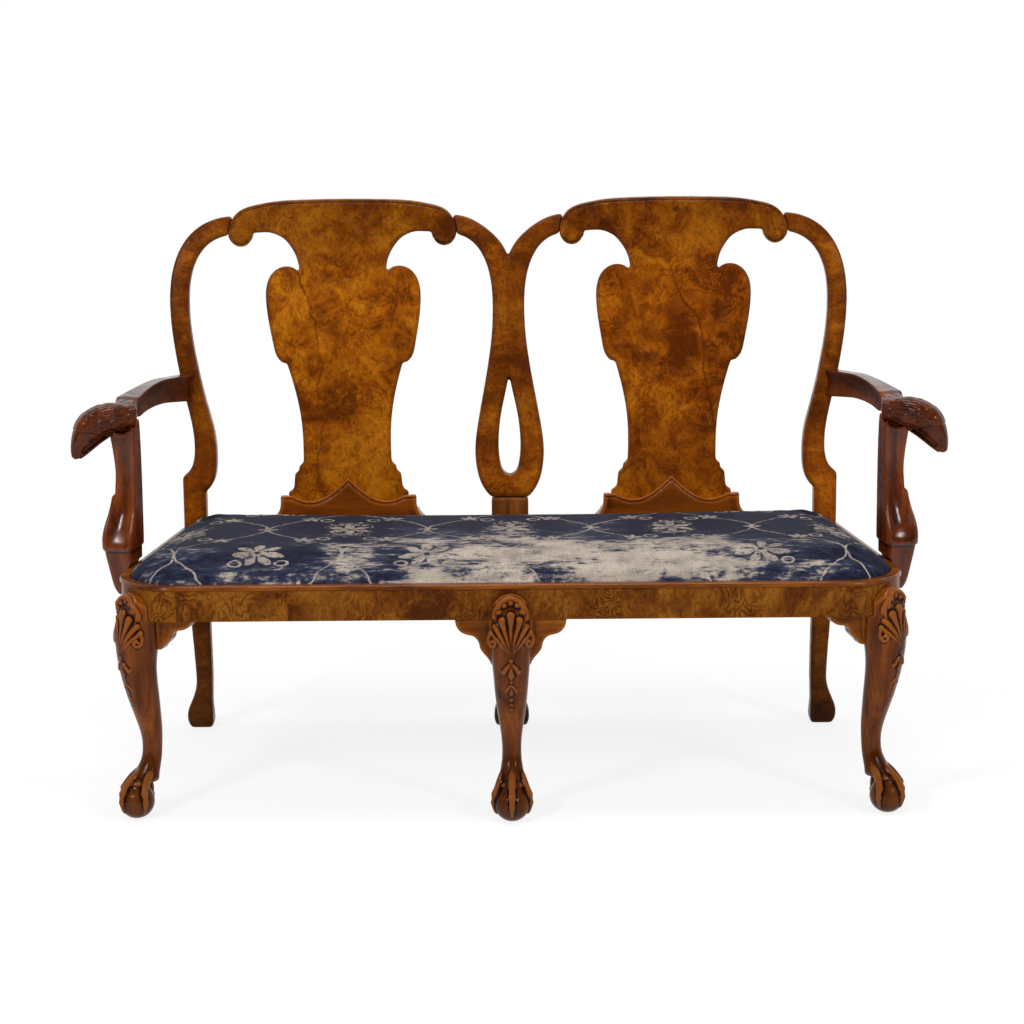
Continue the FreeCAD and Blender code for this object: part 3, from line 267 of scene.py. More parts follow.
@dataclass(frozen=True)
class BurrWalnut:
    """Burr walnut veneer under old polish: clouds, swirls, dark veins and pips.

    Attributes:
        name: Name of the material.
        deep: Colour of the dark clouds.
        warm: Colour of the ground.
        bright: Colour of the lightest figure.
        vein: Colour of the veins and pips.
        shift: Where in the veneer the leaf is cut, in metres.
        drawn: How far the figure is drawn out along each axis.
        gloss: Roughness of the polish.
        shine: Specular level.
        leaf_width: Width of one leaf of veneer, in metres; 0 for a single leaf.
        leaf_jump: How far the figure jumps from one leaf to the next, in metres.
        ring: Strength of the rings round the knots.
        tone: Heights, in metres, and the share of the colour at each; empty for one tone.
    """

    name: str
    deep: Colour = (0.120, 0.024, 0.0008)
    warm: Colour = (0.300, 0.075, 0.0016)
    bright: Colour = (0.50, 0.165, 0.005)
    vein: Colour = (0.040, 0.008, 0.0008)
    shift: Point = (0, 0, 0)
    drawn: Point = (1, 1, 1)
    gloss: float = 0.27
    shine: float = 0.06
    leaf_width: float = 0.0
    leaf_jump: Point = (0.37, 0.0, 0.23)
    ring: float = 1.0
    tone: tuple[tuple[float, float], ...] = ()

    def leaf(self, t: NodeTree) -> Socket:
        """Place in the veneer, which jumps from leaf to leaf where it is laid in leaves."""
        place = t.mapped(t.place, self.drawn, self.shift)
        if not self.leaf_width:
            return place
        number = t.math("FLOOR", t.times(t.parts(t.place)[0], 1.0 / self.leaf_width))
        jumps = {n: t.times(number, far) for n, far in enumerate(self.leaf_jump)}
        jump = t.add("ShaderNodeCombineXYZ", jumps)
        return t.vector("ADD", place, jump)

    def material(self) -> Material:
        """Builds the node material."""
        t = NodeTree(self.name)
        leaf = self.leaf(t)
        bent = t.warped(t.warped(leaf, 6.0, 0.034, 2), 26.0, 0.008, 3)
        clouds = t.noise(bent, 8.0, 5, 0.6)
        swirl = t.noise(bent, 30.0, 5, 0.68, 0.8)
        # Grain that runs in rings round the knots, as contour lines of a slow noise.
        rings = t.math("SINE", t.times(t.noise(bent, 12.0, 3, 0.5), 150.0))
        reach = t.span(t.noise(leaf, 11.0, 2), 0.40, 0.62, 0.004 * self.ring, 0.030 * self.ring)
        rings = t.times(rings, reach)
        mottle = t.plus(t.times(clouds, 0.60), t.times(swirl, 0.40))
        mottle = t.plus(mottle, rings)
        colour = t.ramp(mottle, (0.40, self.deep), (0.49, self.warm), (0.595, self.bright))
        # A few long thin veins run up the leaf, and small knots lie in clusters.
        wavy = t.warped(t.warped(leaf, 8.0, 0.020, 3), 45.0, 0.0045, 3)
        run = t.mapped(wavy, (1.0, 1.0, 0.16), (0.31, 0.0, 0.12))
        ridge = t.math("ABSOLUTE", t.minus(t.noise(run, 4.2, 2, 0.4), 0.5))
        vein = t.times(t.span(ridge, 0.0, 0.0050, 1.0, 0.0), t.span(swirl, 0.40, 0.56, 0.15, 0.9))
        pip = t.add("ShaderNodeTexVoronoi", {"Vector": bent, "Scale": 150.0}, "Distance")
        crowd = t.span(t.noise(leaf, 15.0, 3, 0.6), 0.53, 0.64)
        pips = t.times(t.span(pip, 0.08, 0.36, 0.8, 0.0), crowd)
        shade = t.times(t.span(t.noise(bent, 55.0, 4, 0.7), 0.50, 0.70), 0.45)
        dark = t.math("MAXIMUM", vein, t.math("MAXIMUM", shade, pips), clamp=True)
        colour = t.mix(t.times(dark, 0.85), colour, self.vein)
        pores = t.noise(t.mapped(bent, (900.0, 900.0, 240.0)), 1.0, 2, 0.6)
        colour = t.mix(t.span(pores, 0.56, 0.72, 0.0, 0.45), colour, self.deep)
        flecks = t.noise(t.mapped(bent, (1.0, 1.0, 0.6)), 230.0, 4, 0.75)
        colour = t.mix(t.span(flecks, 0.50, 0.66, 0.0, 0.50), colour, self.vein)
        colour = t.toned(colour, self.tone)
        hollow = t.attribute("hollow")
        # Painted shade and old polish: the colour darkens in hollows; sharp edges are pulled towards the
        # deep colour.
        colour = t.mix(t.span(hollow, 0.12, 0.85, 0.0, 0.8), colour, (0.022, 0.006, 0.0012))
        colour = t.mix(t.span(t.times(hollow, -1.0), 0.25, 1.0, 0.0, 0.35), colour, self.deep)
        rough = t.span(t.noise(t.place, 60.0, 3), 0.3, 0.7, self.gloss - 0.05, self.gloss + 0.09)
        ripple = t.plus(t.times(pores, 0.25), t.noise(t.place, 38.0, 2))
        return t.finish(colour, rough, t.bump(ripple, 0.00045, 0.5), Specular_IOR_Level=self.shine)


@dataclass(frozen=True)
class PolishedWood:
    """Solid walnut with straight grain along one axis, under polish.

    Attributes:
        name: Name of the material.
        grain: Axis that the grain follows.
        dark: Colour of the dark streaks.
        mid: Colour of the ground.
        light: Colour of the light streaks.
        gloss: Roughness of the polish.
        shine: Specular level.
        shift: Where in the plank the piece is cut, in metres.
        figure: Share of curl and cloud in the grain.
        edge: How far sharp edges brighten, as wear and as a painted highlight.
        grime: Hollows between which the colour darkens, as old polish and as painted shade, from not at all
            to fully.
        tone: Heights, in metres, and the share of the colour at each; empty for one tone.
    """

    name: str
    grain: Grain
    dark: Colour = (0.060, 0.013, 0.0010)
    mid: Colour = (0.178, 0.044, 0.0025)
    light: Colour = (0.290, 0.090, 0.0060)
    gloss: float = 0.33
    shine: float = 0.14
    shift: Point = (0, 0, 0)
    figure: float = 0.5
    edge: float = 0.35
    grime: tuple[float, float] = (0.06, 0.8)
    tone: tuple[tuple[float, float], ...] = ()

    def material(self) -> Material:
        """Builds the node material."""
        t = NodeTree(self.name)
        along, thread = (tuple(drawn if axis is self.grain else 1.0 for axis in Grain)
                         for drawn in (0.09, 0.035))
        plank = t.mapped(t.place, (1, 1, 1), self.shift)
        bent = t.warped(plank, 6.0, 0.02, 2)
        drawn_out = t.mapped(bent, along)
        streak = t.noise(drawn_out, 42.0, 4, 0.6)
        cloud = t.noise(bent, 9.0, 3, 0.55)
        share = t.plus(t.times(streak, 1.0 - 0.55 * self.figure),
                       t.times(cloud, 0.55 * self.figure))
        colour = t.ramp(share, (0.33, self.dark), (0.50, self.mid), (0.68, self.light))
        line = t.math("ABSOLUTE", t.minus(t.noise(drawn_out, 30.0, 3, 0.55), 0.5))
        colour = t.mix(t.span(line, 0.0, 0.03, 0.42, 0.0), colour, self.dark)
        pores = t.noise(t.mapped(plank, thread), 950.0, 2, 0.6)
        colour = t.mix(t.span(pores, 0.55, 0.70, 0.0, 0.45), colour, self.dark)
        colour = t.toned(colour, self.tone)
        hollow = t.attribute("hollow")
        # Painted shade and old polish: the colour darkens in the hollows of the carving.
        grime = tuple(0.22 * c for c in self.dark)
        colour = t.mix(t.span(hollow, *self.grime, 0.0, 0.9), colour, grime)
        # Painted highlight and wear: sharp edges are lightened.
        worn = t.span(t.times(hollow, -1.0), 0.2, 0.9, 0.0, self.edge)
        colour = t.mix(worn, colour, tuple(1.25 * c for c in self.light))
        rough = t.span(t.noise(t.place, 55.0, 3), 0.3, 0.7, self.gloss - 0.06, self.gloss + 0.09)
        ripple = t.plus(t.times(pores, 0.3), t.noise(t.place, 45.0, 2))
        return t.finish(colour, rough, t.bump(ripple, 0.0005, 0.5), Specular_IOR_Level=self.shine)


@dataclass(frozen=True)
class OgeeRepeat:
    """Pale drawing on the velvet: an ogee lattice with flower heads, rings and sprays of blossom.

    Attributes:
        t: Tree that gets the nodes.
        u: Place across, in repeats.
        v: Place along, in repeats.
        depth: Depth of one repeat, as a share of its width.
        ahead: Whole repeats and a half, added so that a share of a repeat is never negative.
    """

    t: NodeTree
    u: Any
    v: Any
    depth: float
    ahead: float = 20.5

    def lattice(self) -> Socket:
        """Distance to the nearest ogee line, as a share of the repeat's width."""
        t = self.t
        wave = t.math("COSINE", t.times(self.v, math.tau))
        swing = t.times(t.minus(1.0, wave), 0.25)
        lines = []
        for turn in ("ADD", "SUBTRACT"):
            share = t.math("FRACT", t.plus(t.math(turn, self.u, swing), self.ahead))
            lines.append(t.math("ABSOLUTE", t.minus(share, 0.5)))
        return t.math("MINIMUM", *lines)

    def polar(self, across: float, along: float) -> tuple[Any, Any]:
        """Distance, as a share of the repeat's width, and bearing from one spot of each repeat."""
        t = self.t
        dx, dy = (t.minus(t.math("FRACT", t.plus(place, self.ahead - spot)), 0.5)
                  for place, spot in ((self.u, across), (self.v, along)))
        dy = t.times(dy, self.depth)
        far = t.math("SQRT", t.plus(t.times(dx, dx), t.times(dy, dy)))
        return far, t.math("ARCTAN2", dx, dy)

    def flower(self, spot: tuple[float, float], size: float, petals: int) -> Socket:
        """Mask of a flower head with a dark eye and petals parted by dark lines.

        Args:
            spot: Its middle, in repeats.
            size: Radius as a share of the repeat's width.
            petals: Number of petals.

        Returns:
            The mask socket.
        """
        t = self.t
        far, bearing = self.polar(*spot)
        wave = t.math("COSINE", t.times(bearing, float(petals)))
        edge = t.times(t.plus(1.0, t.times(wave, 0.30)), size)
        head = t.span(t.minus(far, edge), -0.010, 0.008, 1.0, 0.0)
        heart = t.span(far, 0.25 * size, 0.40 * size, 1.0, 0.0)
        parted = t.math("MAXIMUM", t.span(wave, -0.85, -0.55), heart)
        return t.times(head, t.times(parted, t.span(far, 0.10 * size, 0.2 * size)))

    def spray(self) -> Socket:
        """Mask of the ragged blooms between the crossings, like sprays of small blossom."""
        t = self.t
        far, bearing = self.polar(0.5, 0.0)
        lobes = t.times(t.math("COSINE", t.times(bearing, 2.0)), -0.045)
        blots = t.times(t.minus(t.noise(t.place, 95.0, 4, 0.7), 0.5), 0.55)
        bloom = t.span(t.plus(t.plus(far, lobes), blots), 0.115, 0.145, 1.0, 0.0)
        return t.times(bloom, t.span(far, 0.12, 0.15))

    def drawing(self) -> Socket:
        """Mask of the whole pale pattern."""
        t = self.t
        total = t.span(self.lattice(), 0.0050, 0.0100, 1.0, 0.0)
        marks = [self.spray()]
        for spot in ((0.36, 0.22), (0.64, 0.22), (0.36, -0.22), (0.64, -0.22), (0.14, 0.40), (0.86, 0.40)):
            rim = t.math("ABSOLUTE", t.minus(self.polar(*spot)[0], 0.036))
            marks.append(t.span(rim, 0.0055, 0.0105, 1.0, 0.0))
        heads = [((0.0, 0.5), 0.125, 7), ((0.5, 0.0), 0.105, 6), ((0.0, 0.0), 0.045, 4)]
        heads += [((across, along), 0.050, 5) for across in (0.25, 0.75) for along in (0.25, -0.25)]
        marks += [self.flower(*head) for head in heads]
        for mark in marks:
            total = t.math("MAXIMUM", total, mark)
        return total


@dataclass(frozen=True)
class WornVelvet:
    """Blue silk velvet with a pale drawing, worn to its ground in streaks.

    Attributes:
        name: Name of the material.
        pile: Colour of the deep pile.
        faded: Colour of the faded pile.
        ground: Colour of the bare pale ground.
        across: Width of one repeat, in metres.
        along: Depth of one repeat, in metres.
        middle: Y at which the ogee's lines cross.
    """

    name: str = "worn_velvet"
    pile: Colour = (0.0085, 0.0100, 0.0260)
    faded: Colour = (0.060, 0.072, 0.125)
    ground: Colour = (0.60, 0.51, 0.42)
    across: float = 0.287
    along: float = 0.36
    middle: float = -0.02

    def wear(self, t: NodeTree) -> Socket:
        """How far the pile is worn: patches over the middle and front with edges broken along the weft."""
        streak = t.noise(t.mapped(t.place, (30.0, 130.0, 60.0)), 1.0, 5, 0.72)
        patch = t.noise(t.mapped(t.place, (7.5, 13.0, 5.0), (0.9, 0.35, 0.0)), 1.0, 5, 0.68)
        x, y, _ = t.parts(t.place)
        front = t.span(y, -0.20, 0.04, 0.075, -0.09)
        middle = t.span(t.math("ABSOLUTE", t.minus(x, 0.07)), 0.16, 0.48, 0.045, -0.06)
        worn = t.plus(t.times(patch, 0.60), t.times(streak, 0.40))
        return t.plus(worn, t.plus(front, middle))

    def material(self) -> Material:
        """Builds the node material."""
        t = NodeTree(self.name)
        x, y, _ = t.parts(t.warped(t.warped(t.place, 9.0, 0.010, 3), 55.0, 0.0030, 3))
        u = t.plus(t.times(x, 1.0 / self.across), 0.5)
        v = t.times(t.minus(y, self.middle), 1.0 / self.along)
        ragged = t.span(t.noise(t.mapped(t.place, (110.0, 210.0, 110.0)), 1.0, 5, 0.7), 0.37, 0.49)
        drawn = t.times(OgeeRepeat(t, u, v, self.along / self.across).drawing(), ragged)
        worn = self.wear(t)
        bare = t.span(worn, 0.545, 0.625)
        pale = t.math("MAXIMUM", t.times(drawn, 0.9), bare)
        mottle = t.span(t.noise(t.place, 45.0, 4, 0.6), 0.45, 0.72, 0.0, 0.14)
        fade = t.plus(t.span(worn, 0.46, 0.58, 0.0, 0.55), mottle)
        colour = t.mix(fade, self.pile, self.faded)
        soiled = tuple(0.62 * c for c in self.ground)
        tint = t.ramp(t.noise(t.place, 26.0, 4, 0.6), (0.36, soiled), (0.62, self.ground))
        colour = t.mix(pale, colour, tint)
        weft = t.noise(t.mapped(t.place, (500.0, 1400.0, 900.0)), 1.0, 2, 0.5)
        warp = t.noise(t.mapped(t.place, (1500.0, 300.0, 900.0)), 1.0, 2, 0.5)
        thread = t.plus(weft, warp)
        colour = t.mix(t.span(thread, 0.90, 1.18, 0.0, 0.52), colour, (0.012, 0.014, 0.030))
        height = t.minus(t.times(thread, 0.5), t.times(pale, 0.5))
        return t.finish(colour, t.span(pale, 0.0, 1.0, 0.72, 0.9), t.bump(height, 0.0009, 0.7),
                        Sheen_Weight=0.05, Sheen_Roughness=0.4, Specular_IOR_Level=0.06)


@dataclass(frozen=True)
class WovenJute:
    """Plain woven jute or hessian.

    Attributes:
        name: Name of the material.
        light: Colour of the raised threads.
        dark: Colour between them.
        thread: Threads per metre.
    """

    name: str
    light: Colour = (0.34, 0.24, 0.12)
    dark: Colour = (0.10, 0.065, 0.03)
    thread: float = 420.0

    def material(self) -> Material:
        """Builds the node material."""
        t = NodeTree(self.name)
        bent = t.warped(t.place, 60.0, 0.0006, 2)
        waves = [t.math("SINE", t.times(way, self.thread * math.tau)) for way in t.parts(bent)[:2]]
        weave = t.span(t.times(waves[0], waves[1]), -0.7, 0.7)
        slub = t.noise(t.mapped(t.place, (40.0, 300.0, 40.0)), 1.0, 3)
        colour = t.mix(weave, self.dark, self.light)
        colour = t.mix(t.span(slub, 0.4, 0.7, 0.0, 0.45), colour, tuple(0.6 * c for c in self.light))
        height = t.plus(weave, t.times(slub, 0.6))
        return t.finish(colour, t.span(slub, 0.3, 0.7, 0.85, 0.95), t.bump(height, 0.0006), Sheen_Weight=0.1,
                        Specular_IOR_Level=0.2)


@dataclass(frozen=True)
class OldIron:
    """Hand-cut iron, dull and spotted with rust.

    Attributes:
        name: Name of the material.
        metal: Colour of the metal.
        rust: Colour of the rust.
    """

    name: str = "old_iron"
    metal: Colour = (0.17, 0.15, 0.135)
    rust: Colour = (0.13, 0.045, 0.015)

    def material(self) -> Material:
        """Builds the node material."""
        t = NodeTree(self.name)
        spots = t.span(t.noise(t.place, 260.0, 4, 0.6), 0.48, 0.62)
        colour = t.mix(spots, self.metal, self.rust)
        return t.finish(colour, t.span(spots, 0.0, 1.0, 0.42, 0.8),
                        t.bump(t.noise(t.place, 500.0, 3), 0.0003), Metallic=0.85)


class Finishes:
    """All the finishes of the settee, built once."""

    def __init__(self) -> None:
        """Builds the materials."""
        red = self.woods((0.016, 0.0026, 0.0005), (0.086, 0.0150, 0.0020), (0.175, 0.040, 0.006))
        bright_red = self.woods((0.022, 0.0034, 0.0006), (0.124, 0.0210, 0.0027), (0.25, 0.058, 0.008))
        pale = self.woods((0.105, 0.060, 0.028), (0.235, 0.150, 0.078), (0.36, 0.25, 0.14))
        self.splat = {
            Side.LEFT: BurrWalnut("splat_burr_left", tone=((0.84, 1.0), (0.97, 0.58))).material(),
            Side.RIGHT: BurrWalnut("splat_burr_right", shift=(0.73, 0.2, 0.35), deep=(0.108, 0.0205, 0.0008),
                                   warm=(0.270, 0.062, 0.0015), bright=(0.47, 0.144, 0.0046),
                                   tone=((0.84, 1.0), (0.97, 0.56))).material(),
        }
        self.rail_veneer = BurrWalnut("rail_burr", (0.075, 0.0175, 0.0018), (0.170, 0.048, 0.0036),
                                      (0.30, 0.105, 0.010), drawn=(1.0, 1.0, 0.8), shift=(1.3, 0.4, 0.6),
                                      gloss=0.24, shine=0.05, leaf_width=0.1877, ring=2.0).material()
        # Painted light and shade: the uprights are lighter just above the seat, where light falls, and
        # darker below it down to the floor, where they stand in shade.
        self.upright = BurrWalnut("walnut_upright", (0.088, 0.0185, 0.0010), (0.180, 0.043, 0.0016),
                                  (0.30, 0.088, 0.004), drawn=(1.0, 1.0, 1.4), shift=(2.1, 0.3, 0.2),
                                  tone=((0.04, 0.5), (0.20, 0.85), (0.33, 1.2), (0.42, 1.7), (0.53, 1.8),
                                        (0.64, 1.12))).material()
        # Painted shade: the rear centre leg is a darker copy of the walnut for where it stands in shade
        # under the seat; above the seat's height it is lighter.
        self.rear_leg = PolishedWood("dark_rear_leg", Grain.UPRIGHT, dark=(0.015, 0.0043, 0.0008),
                                     mid=(0.046, 0.0128, 0.0021), light=(0.095, 0.029, 0.005), shine=0.10,
                                     tone=((0.36, 1.0), (0.43, 3.8))).material()
        self.across = PolishedWood("walnut_across", Grain.ACROSS, shift=(0.3, 0.2, 0.1)).material()
        self.backward = PolishedWood("walnut_backward", Grain.BACKWARD, shift=(0.6, 0.1, 0.4)).material()
        self.lip = PolishedWood("walnut_lip", Grain.ACROSS, mid=(0.180, 0.044, 0.0026),
                                light=(0.28, 0.085, 0.007), gloss=0.18, shine=0.22, figure=0.3).material()
        # The shoe's edges take a strong painted highlight, as well as wear.
        self.shoe = PolishedWood("walnut_shoe", Grain.ACROSS, mid=(0.175, 0.036, 0.0022),
                                 light=(0.28, 0.072, 0.005), gloss=0.24, shine=0.16, edge=0.8,
                                 shift=(0.9, 0.5, 0.2)).material()
        # The leg's carved ridges are lightened as a painted highlight, as well as wear.
        self.leg = PolishedWood("walnut_leg", Grain.UPRIGHT, dark=(0.034, 0.0066, 0.0009),
                                mid=(0.158, 0.036, 0.0030), light=(0.280, 0.080, 0.009), gloss=0.16,
                                shine=0.13, edge=0.6, shift=(0.2, 0.7, 0.3),
                                tone=((0.03, 0.45), (0.10, 0.60), (0.15, 1.0))).material()
        self.bracket = PolishedWood("walnut_bracket", Grain.ACROSS, dark=(0.060, 0.0125, 0.0010),
                                    mid=(0.200, 0.050, 0.0030), light=(0.34, 0.105, 0.008), gloss=0.18,
                                    shine=0.09, figure=0.9, shift=(0.2, 0.7, 0.3)).material()
        arm = {"grain": Grain.BACKWARD, "figure": 0.7, "edge": 0.12, "grime": (0.30, 0.85), **red}
        dull = {"gloss": 0.35, "shine": 0.015}
        self.arm = PolishedWood("red_walnut_arm", gloss=0.15, shine=0.22, **arm).material()
        self.arm_inner = PolishedWood("red_walnut_arm_inner", **dull, **arm).material()
        support = {"grain": Grain.UPRIGHT, "figure": 0.6, "edge": 0.2, **bright_red}
        support["shift"] = (0.4, 0.3, 0.9)
        self.support = PolishedWood("red_walnut_support", gloss=0.18, shine=0.34, **support).material()
        self.support_inner = PolishedWood("red_walnut_support_inner", **dull, **support).material()
        plain = {"gloss": 0.62, "shine": 0.2, "figure": 0.2, **pale}
        self.inner = PolishedWood("plain_frame_wood", Grain.ACROSS, **plain).material()
        self.inner_backward = PolishedWood("plain_frame_wood_side", Grain.BACKWARD, **plain).material()
        self.velvet = WornVelvet().material()
        self.jute = WovenJute("jute_webbing", thread=330.0).material()
        self.hessian = WovenJute("hessian", (0.42, 0.32, 0.18), (0.13, 0.09, 0.045), 520.0).material()
        self.iron = OldIron().material()

    def woods(self, dark: Colour, mid: Colour, light: Colour) -> dict[str, Colour]:
        """Colours of one solid wood, by the names that its finish takes."""
        return {"dark": dark, "mid": mid, "light": light}


def cad_solid(node: str) -> Solid:
    """Mesh of one CAD node.

    Args:
        node: Name of the node.

    Returns:
        Points in millimetres and the triangles between them.
    """
    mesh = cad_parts[node].data
    points = np.empty(len(mesh.vertices) * 3, np.float32)
    mesh.vertices.foreach_get("co", points)
    mesh.calc_loop_triangles()
    triangles = np.empty(len(mesh.loop_triangles) * 3, np.int32)
    mesh.loop_triangles.foreach_get("vertices", triangles)
    return points.reshape(-1, 3) / MM, triangles.reshape(-1, 3)


class Field:
    """Grid of distances to a piece's surface, negative inside, in which the piece is carved.

    Attributes:
        band: Steps of the grid over which the distances reach.
        weld: Growth that joins several solids into one piece, in millimetres.
    """

    band = 7.0
    weld = 0.12

    def __init__(self, solids: Sequence[Solid], step: float, round_over: float = 0.0,
                 spare: float = 10.0) -> None:
        """Fills the grid from solids.

        Args:
            solids: Meshes that make up the piece, in millimetres.
            step: Spacing of the grid, in millimetres.
            round_over: Radius that the outer edges are rounded to.
            spare: Room round the solids.
        """
        self.step = step
        points = np.concatenate([s[0] for s in solids])
        self.first = np.floor((points.min(0) - spare) / step).astype(int)
        last = np.ceil((points.max(0) + spare) / step).astype(int)
        self.shape = tuple(int(n) for n in last - self.first + 1)
        self.values = np.min([self.distances(s[0], s[1]) for s in solids], axis=0)
        if len(solids) > 1:
            self.values -= self.weld
        self.tone: Array | None = None
        if round_over:
            self.round_outer(round_over)

    def distances(self, points: Array, faces: Array, extra: float = 0.0) -> Array:
        """Distances to a closed mesh, over the grid.

        Args:
            points: Points of the mesh.
            faces: Its triangles or quads.
            extra: Millimetres that the distances reach beyond the usual band.

        Returns:
            The distances, held at the end of the band.
        """
        key = "triangles" if faces.shape[1] == 3 else "quads"
        mesh = {key: np.ascontiguousarray(faces, np.uint32)}
        grid = openvdb.FloatGrid.createLevelSetFromPolygons(
            np.ascontiguousarray(points, np.float32), transform=openvdb.createLinearTransform(self.step),
            halfWidth=self.band + extra / self.step, **mesh)
        values = np.empty(self.shape, np.float32)
        grid.copyToArray(values, ijk=tuple(int(n) for n in self.first))
        return values

    def surface(self, level: float = 0.0) -> Solid:
        """Quad mesh of the points at one distance.

        Args:
            level: Distance from the surface, negative inside.

        Returns:
            Points in millimetres and quads that face outwards.
        """
        grid = openvdb.FloatGrid(self.band * self.step)
        grid.transform = openvdb.createLinearTransform(self.step)
        grid.gridClass = openvdb.GridClass.LEVEL_SET
        values = np.ascontiguousarray(self.values, np.float32)
        grid.copyFromArray(values, ijk=tuple(int(n) for n in self.first))
        points, quads = grid.convertToQuads(isovalue=level)
        corners = points[quads].astype(np.float64)
        crossing = np.cross(corners[:, 2] - corners[:, 0], corners[:, 3] - corners[:, 1])
        if np.einsum("ij,ij->", crossing, corners.mean(1)) < 0:
            quads = quads[:, ::-1]
        return points, quads

    def round_outer(self, radius: float) -> None:
        """Rounds the outer edges: shrinks the piece by radius and grows it back."""
        self.values = self.distances(*self.surface(-radius), radius) - radius

    def fill_inner(self, radius: float) -> None:
        """Fills the inner corners: grows the piece by radius and shrinks it back."""
        self.values = self.distances(*self.surface(radius), radius) + radius

    def blur(self, passes: int) -> None:
        """Softens the whole field by that many passes."""
        self.values = blurred(self.values, passes)

    def axes(self) -> tuple[Array, Array, Array]:
        """Coordinates of the grid along each axis, shaped to spread over it."""
        lines = [(self.first[n] + np.arange(self.shape[n])) * self.step for n in range(3)]
        return lines[0][:, None, None], lines[1][None, :, None], lines[2][None, None, :]

    def window(self, low: Sequence[float], high: Sequence[float]) -> tuple[tuple, list[Array]]:
        """Part of the grid inside a box.

        Args:
            low: Lowest corner.
            high: Highest corner.

        Returns:
            Slices into the grid and the coordinates along each axis.
        """
        start = np.clip(np.floor(np.asarray(low) / self.step).astype(int) - self.first, 0, self.shape)
        stop = np.clip(np.ceil(np.asarray(high) / self.step).astype(int) - self.first + 1, 0, self.shape)
        slices = tuple(slice(int(a), int(b)) for a, b in zip(start, stop))
        return slices, [axis[tuple(s if n == k else slice(None) for n, s in enumerate(slices))]
                        for k, axis in enumerate(self.axes())]

    def chain(self, links: Sequence[tuple[Point, float]], blend: float, cut: bool = False) -> None:
        """Adds, or cuts away, a run of rounded links.

        Args:
            links: Centre and radius of each joint of the run.
            blend: Width over which the run flows into the piece.
            cut: True to cut the run away.
        """
        centres = np.array([c for c, _ in links], float)
        radii = np.array([r for _, r in links], float)
        reach = radii.max() + blend + 2 * self.step
        slices, (x, y, z) = self.window(centres.min(0) - reach, centres.max(0) + reach)
        here = self.values[slices]
        if not here.size:
            return
        run = np.full(here.shape, 1e3, np.float32)
        joints = list(zip(centres, radii))
        for (a, ra), (b, rb) in zip(joints, joints[1:] + joints[-1:]):
            share, gap = nearest(a, b, x, y, z)
            run = np.minimum(run, np.sqrt(gap) - (ra + share * (rb - ra)))
        self.values[slices] = -soft_min(-here, run, blend) if cut else soft_min(here, run, blend)

    def lift(self, height: Array) -> None:
        """Moves the surface out by a height that varies over the grid."""
        self.values = (self.values - height).astype(np.float32)

    def cut(self, gap: Array, blend: float) -> None:
        """Cuts away where a distance is negative, rounded off over a width."""
        self.values = -soft_min(-self.values, gap, blend)

    def middle(self, axis: int) -> Array:
        """Middle of the piece along one axis at each level of Z, carried on past its ends."""
        inside = self.values < 0
        count = inside.sum((0, 1))
        total = (inside * self.axes()[axis]).sum((0, 1))
        levels = np.flatnonzero(count)
        return np.interp(np.arange(len(count)), levels, total[levels] / count[levels])

    def front_share(self, start: float, end: float) -> Array:
        """0 behind the piece's middle, rising to 1 between two distances in front of it, at each Y and Z."""
        return smooth_step(start, end, self.middle(1)[None, :] - self.axes()[1][0])

    def sample(self, values: Array, points: Array) -> Array:
        """Grid values read between the grid's points."""
        spot = np.clip(points / self.step - self.first, 0, np.array(self.shape) - 1.001)
        low = spot.astype(int)
        share = spot - low
        total = np.zeros(len(points))
        for corner in np.ndindex(2, 2, 2):
            weight = np.prod(np.where(corner, share, 1 - share), axis=1)
            index = low + corner
            total += weight * values[index[:, 0], index[:, 1], index[:, 2]]
        return total

    def hollows(self, points: Array, passes: int = 10) -> Array:
        """How hollow the surface is at each point: near 1 in a groove, near -1 on a sharp edge."""
        limit = 4 * self.step
        whole = self.values if self.tone is None else self.tone
        soft = blurred(np.clip(whole, -limit, limit), passes)
        return np.clip(-self.sample(soft, points) / (0.42 * self.step), -1, 1).astype(np.float32)


def nearest(a: Sequence[float], b: Sequence[float], *axes: Array) -> tuple[Array, Array]:
    """Nearest place on a straight line to each point of a grid.

    Args:
        a: Start of the line.
        b: Its end.
        axes: Coordinates of the grid, one set for each of the line's own.

    Returns:
        Place along the line, from 0 to 1, and the squared distance to it.
    """
    way = np.subtract(b, a, dtype=float)
    length = max(float(way @ way), 1e-9)
    share = np.clip(sum((x - s) * w for x, s, w in zip(axes, a, way)) / length, 0, 1)
    return share, sum((x - s - share * w) ** 2 for x, s, w in zip(axes, a, way))


def soft_min(first: Array, second: Array, width: float) -> Array:
    """Smaller of two distances, rounded off over a width."""
    if width <= 0:
        return np.minimum(first, second)
    share = np.clip(0.5 + 0.5 * (second - first) / width, 0, 1)
    return (second + share * (first - second) - width * share * (1 - share)).astype(np.float32)


def blurred(values: Array, passes: int, axes: Sequence[int] = (0, 1, 2)) -> Array:
    """Copy of a grid, averaged with its neighbours along some axes that many times."""
    soft = values.astype(np.float32).copy()
    for _ in range(passes):
        for axis in axes:
            line = np.moveaxis(soft, axis, 0)
            middle = 0.5 * line[1:-1] + 0.25 * (line[:-2] + line[2:])
            line[1:-1] = middle
    return soft


@dataclass(frozen=True)
class Ridge:
    """Rounded ridge drawn on a face.

    Attributes:
        line: Points of its middle line, across and up the face.
        half: Half its width at each point.
        rise: Its height as a share of its half width.
    """

    line: tuple[tuple[float, float], ...]
    half: tuple[float, ...]
    rise: float = 0.7


